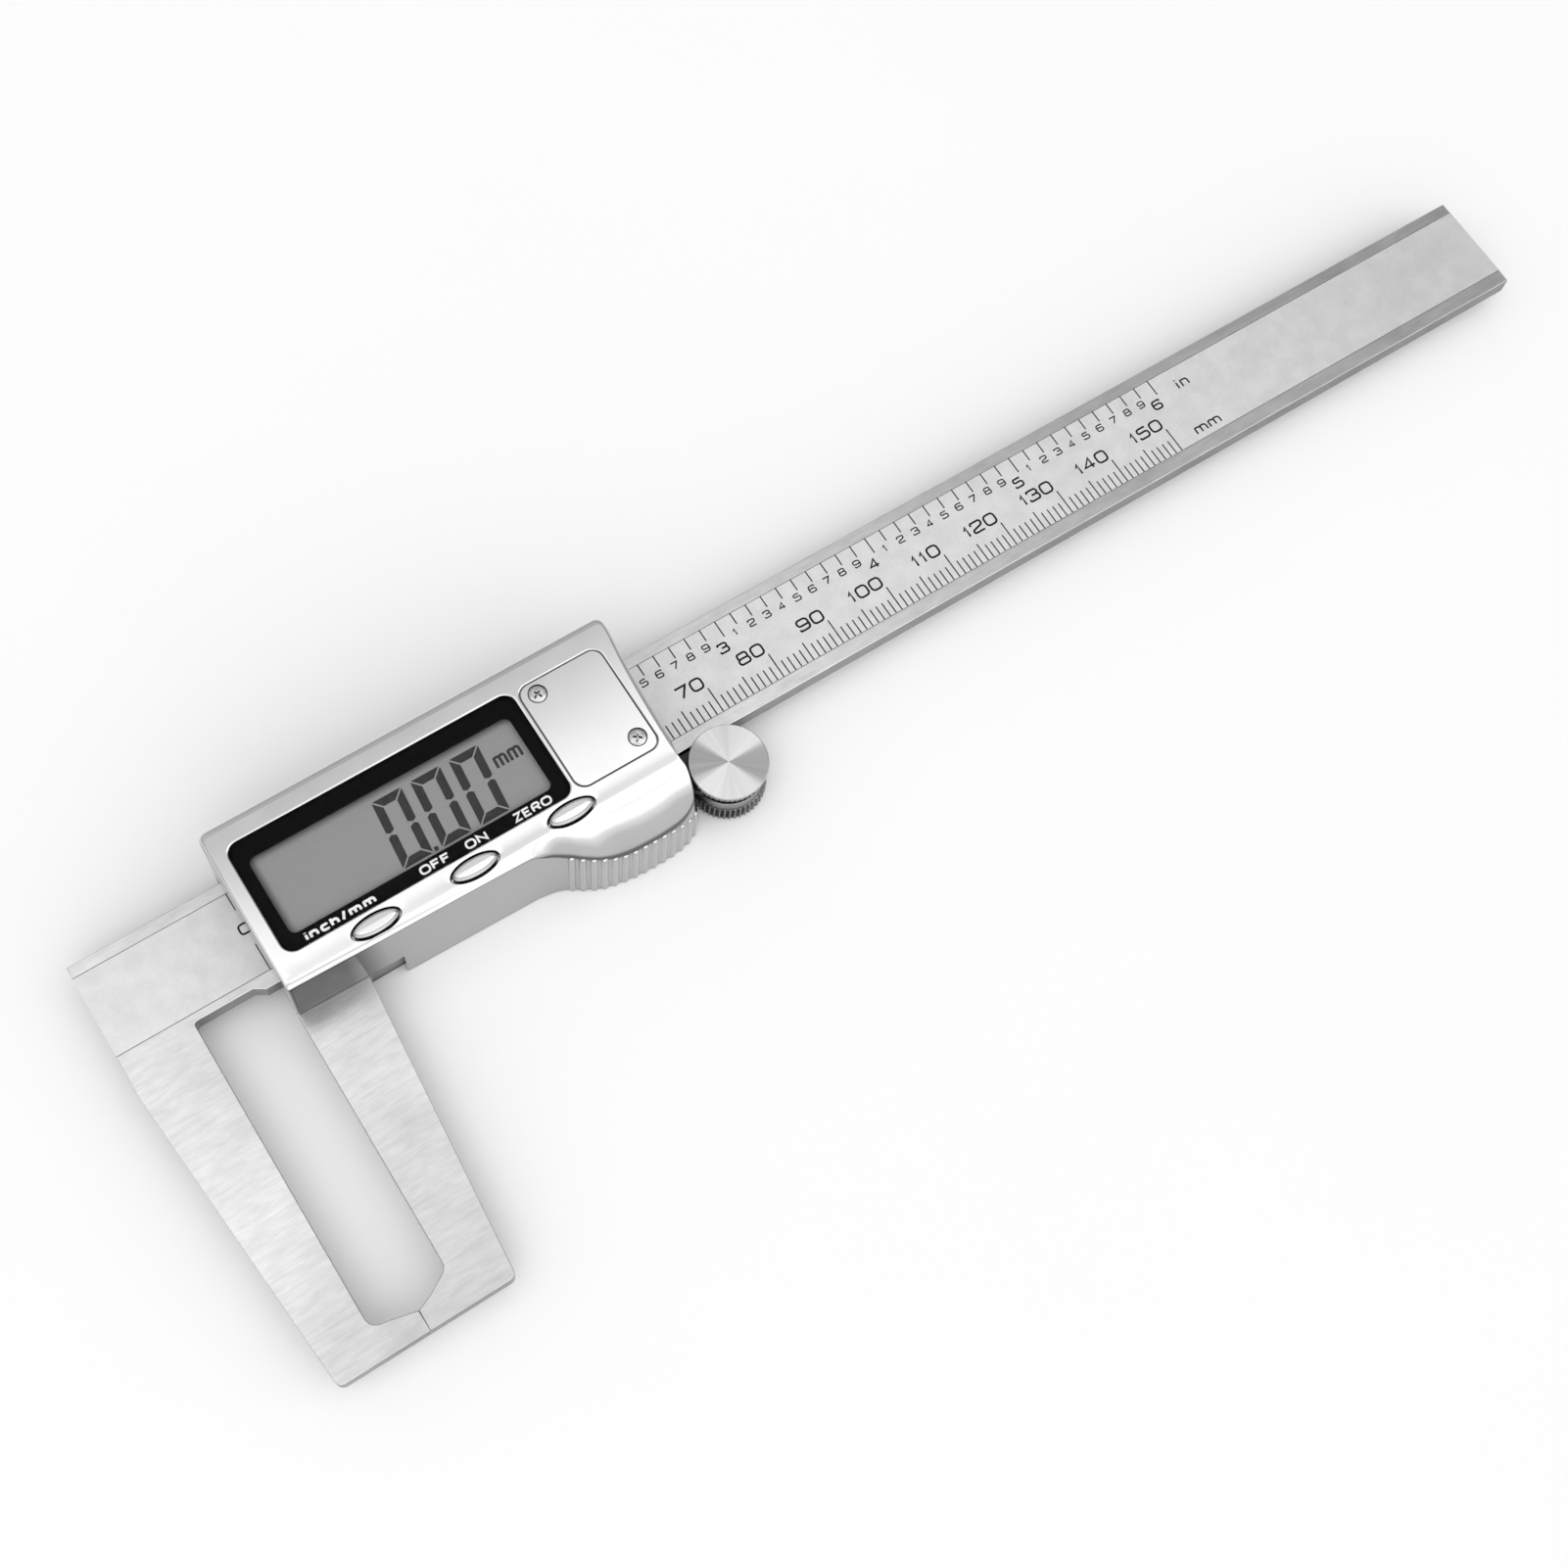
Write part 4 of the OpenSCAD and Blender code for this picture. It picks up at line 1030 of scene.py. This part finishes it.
def digitZero(x):
    # the six lit segments of a nought, cut at 45 degrees with a narrow gap
    d = digit
    w, h, s, g = d["width"], d["height"], d["stroke"], d["gap"] * 1.4
    half = h / 2
    upright = [(0, g), (s, s + g), (s, half - 0.42), (s * 0.42, half - 0.1), (0, half - 0.42)]
    shapes = [[(g, 0), (w - g, 0), (w - s - g, s), (s + g, s)],
              [(s + g, h - s), (w - s - g, h - s), (w - g, h), (g, h)],
              upright, [(w - px, py) for px, py in reversed(upright)],
              [(px, h - py) for px, py in reversed(upright)], [(w - px, h - py) for px, py in upright]]
    rings = [[(x + px + d["lean"] * py, d["low"] + py) for px, py in shape] for shape in shapes]
    return [ringSolid([atHeight(ring, lcdTop), atHeight(ring, lcdTop + d["thick"])]) for ring in rings]


segments = []
for i in range(3):
    segments += digitZero(digit["x"] + i * digit["pitch"])
segments.append(boxSolid(25.2, -6.1, lcdTop, 25.75, -5.5, lcdTop + digit["thick"]))
segments += word("mm", 37.8, -0.55, (1.9, 2.55, 0.4, 0.22), lcdTop, lcdTop + digit["thick"], lean=0.03)
place(buildMesh("displayDigits", joined(*segments)), "slider", "lcd", lcdInk)

labels = []
labelTop = bezelTop + 0.012
labelWidths = {"O": 1.55, "F": 1.25, "N": 1.45, "Z": 1.2, "E": 1.15, "R": 1.25, "i": 0.32, "/": 0.85, "m": 1.75,
               "n": 1.25, "c": 1.15, "h": 1.2}
for text, x in (("OFF", 21.95), ("ON", 28.65), ("ZERO", 35.85)):
    labels += word(text, x, -8.5, (1.3, 1.3, 0.29, 0.17), bezelTop, labelTop, widths=labelWidths)
labels += word("inch/mm", 5.4, -8.46, (1.45, 1.32, 0.37, 0.3), bezelTop, labelTop, widths=labelWidths)
place(buildMesh("switchLabels", joined(*labels)), "slider", "black_print", printWhite)


def lcdFinish():
    # grey display glass, with a painted shadow along its far and left edges where the frame stands over it
    made = Finish("lcdGrey", Roughness=0.4, Specular_IOR_Level=0.1)
    speck = made.mixed(made.spread(made.noise(4.0, 3), 0, 1), grey(0.24), grey(0.262))
    shade = made.product(made.along("Y", 1.0, 0.45, 4.3, 5.3), made.along("X", 0.5, 1.0, 4.3, 5.2))
    made.link(made.tinted(speck, shade), "Base Color")
    return made.material


def windowFinish():
    # clear pane: lets light through and keeps a faint gloss
    made = Finish("clearWindow")
    made.tree.nodes.remove(made.shader)
    lift = made.node("Bump", {"Height": made.noise(0.2, 2), "Distance": 0.0002 * mm}).outputs["Normal"]
    gloss = made.node("BsdfGlossy", {"Roughness": 0.05, "Normal": lift})
    mix = made.node("MixShader", {"Fac": made.node("Fresnel", {"IOR": 1.08}).outputs["Fac"],
                                  1: made.node("BsdfTransparent").outputs["BSDF"], 2: gloss.outputs["BSDF"]})
    made.tree.links.new(mix.outputs["Shader"], made.tree.nodes["Material Output"].inputs["Surface"])
    return made.material


def platePrintFinish():
    # matt silver plate of the scale, with a fine speckle, a little darker towards its right end
    made = Finish("scalePlate", Metallic=0.45)
    speck = made.noise(3.4, 4, roughness=0.75)
    both = made.calc("ADD", speck, made.noise(0.35, 3))
    speckled = made.mixed(made.spread(both, 0, 1, 0.8, 1.2), grey(0.62), grey(0.7))
    drift = made.product(made.along("X", 1, 0.93, -20, 2), made.along("X", 1, 0.88, 150, 200))
    made.link(made.tinted(speckled, drift), "Base Color")
    made.link(made.spread(speck, 0.36, 0.46), "Roughness")
    made.bump(speck, 0.002)
    return made.material


print("display made")

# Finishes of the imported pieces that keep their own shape

nodeFinishes = [
    (screwSteel, "gib_screws casing_screws arm_screws roller_screw stop_screws back_plate_screws"),
    (plainSteel, "travel_stop back_plate"), (mouldedBlack, "chip switches battery_tray"),
    (scaleLaminate, "scale_grid"), (platePrintFinish(), "scale_cover"), (brass, "gib_strip"),
    (windowFinish(), "display_window"), (bezelBlack, "display_bezel"), (lcdFinish(), "lcd_panel"),
    (holderWhite, "lcd_holder"), (zebraRubber, "zebra_strip"), (boardGreen, "circuit_board"),
    (cellSteel, "coin_cell"), (contactPlate, "battery_contacts"), (armBlack, "roller_arm"),
]
for material, names in nodeFinishes:
    for name in names.split():
        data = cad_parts[name].data
        data.materials.clear()
        data.materials.append(material)
print("packed pieces finished")

# Studio, in metres

studio = {
    "light": 1.1,                       # strength of the wide light overhead
    "fill": 4.5, "fillSize": 1.2, "fillAt": (-0.45, -0.3, 1.4),
    "floor": (0.765, 0.775), "floorHalf": 8,
    "lens": 51.96, "sensor": 36,
    "cameraAt": (-0.0371, -0.10121, 0.29408),
    "right": (0.8356, -0.5446, 0.0722), "up": (0.4875, 0.7956, 0.3595),       # the camera's own axes
}


def studioWorld():
    # a wide soft light overhead that ends just behind the tool, over a sky that is dimmer towards the horizon
    world = bpy.data.worlds.new("studio")
    bpy.context.scene.world = world
    world.use_nodes = True
    sky = Nodes(world.node_tree)
    light = sky.tree.nodes["Background"]
    light.inputs["Color"].default_value = (1, 1, 1, 1)
    direction = sky.node("TexCoord").outputs["Generated"]
    x, y, z = [sky.part(axis, direction) for axis in "XYZ"]

    def soft(value, fromLow, fromHigh, low, high):
        return sky.spread(value, low, high, fromLow, fromHigh, interpolation_type="SMOOTHSTEP")

    dip = sky.product(soft(y, 0.12, 0.25, 1, 0), soft(y, -0.4, -0.25, 0, 1), soft(x, 0.05, 0.14, 1, 0))
    # the light's right end runs further out towards the jaws' side
    lean = sky.calc("ADD", x, sky.calc("MINIMUM", sky.product(sky.calc("SUBTRACT", y, 0.27), 1.1), 0.0))
    lobe = sky.product(soft(y, 0.308, 0.368, 1, 0), sky.calc("SUBTRACT", 1.0, sky.product(dip, 0.68)),
                       soft(z, 0.0, 0.32, 0.62, 1), soft(lean, 0.24, 0.4, 1, 0), soft(x, -1.0, -0.7, 0.6, 1))
    base = sky.product(soft(z, 0.02, 0.3, 0.3, 0.555), soft(x, 0.4, 0.62, 1, 0.86),
                       soft(x, -0.06, 0.1, 1.14, 1))
    sky.tree.links.new(sky.calc("ADD", base, sky.product(lobe, studio["light"])), light.inputs["Strength"])


studioWorld()
fill = bpy.data.lights.new("fillLight", "AREA")
fill.shape = "DISK"
fill.size = studio["fillSize"]
fill.energy = studio["fill"]
fillObject = addObject("fillLight", fill)
fillObject.location = studio["fillAt"]
fillObject.rotation_euler = (-Vector(studio["fillAt"])).to_track_quat("-Z", "Y").to_euler()
fillObject.visible_glossy = False      # the metal mirrors the sky's own soft lights only

h = studio["floorHalf"]
floorMesh = bpy.data.meshes.new("floor")
floorMesh.from_pydata([(-h, -h, 0), (h, -h, 0), (h, h, 0), (-h, h, 0)], [], [(0, 1, 2, 3)])
floorFinish = Finish("paleFloor", Roughness=0.9, Specular_IOR_Level=0.0)
floorTones = [grey(level) for level in studio["floor"]]
floorFinish.link(floorFinish.mixed(floorFinish.noise(0.02, 2), *floorTones), "Base Color")
floorMesh.materials.append(floorFinish.material)
addObject("floor", floorMesh)

camera = bpy.data.cameras.new("camera")
camera.sensor_width = studio["sensor"]
camera.lens = studio["lens"]
camera.clip_start = 0.01
camera.clip_end = 50
cameraObject = addObject("camera", camera)
right = Vector(studio["right"])
back = right.cross(Vector(studio["up"])).normalized()
turn = Matrix((right, back.cross(right).normalized(), back)).transposed().to_4x4()
cameraObject.matrix_world = Matrix.Translation(studio["cameraAt"]) @ turn
bpy.context.scene.camera = cameraObject
bpy.context.scene.view_settings.view_transform = "Standard"
print("studio set")
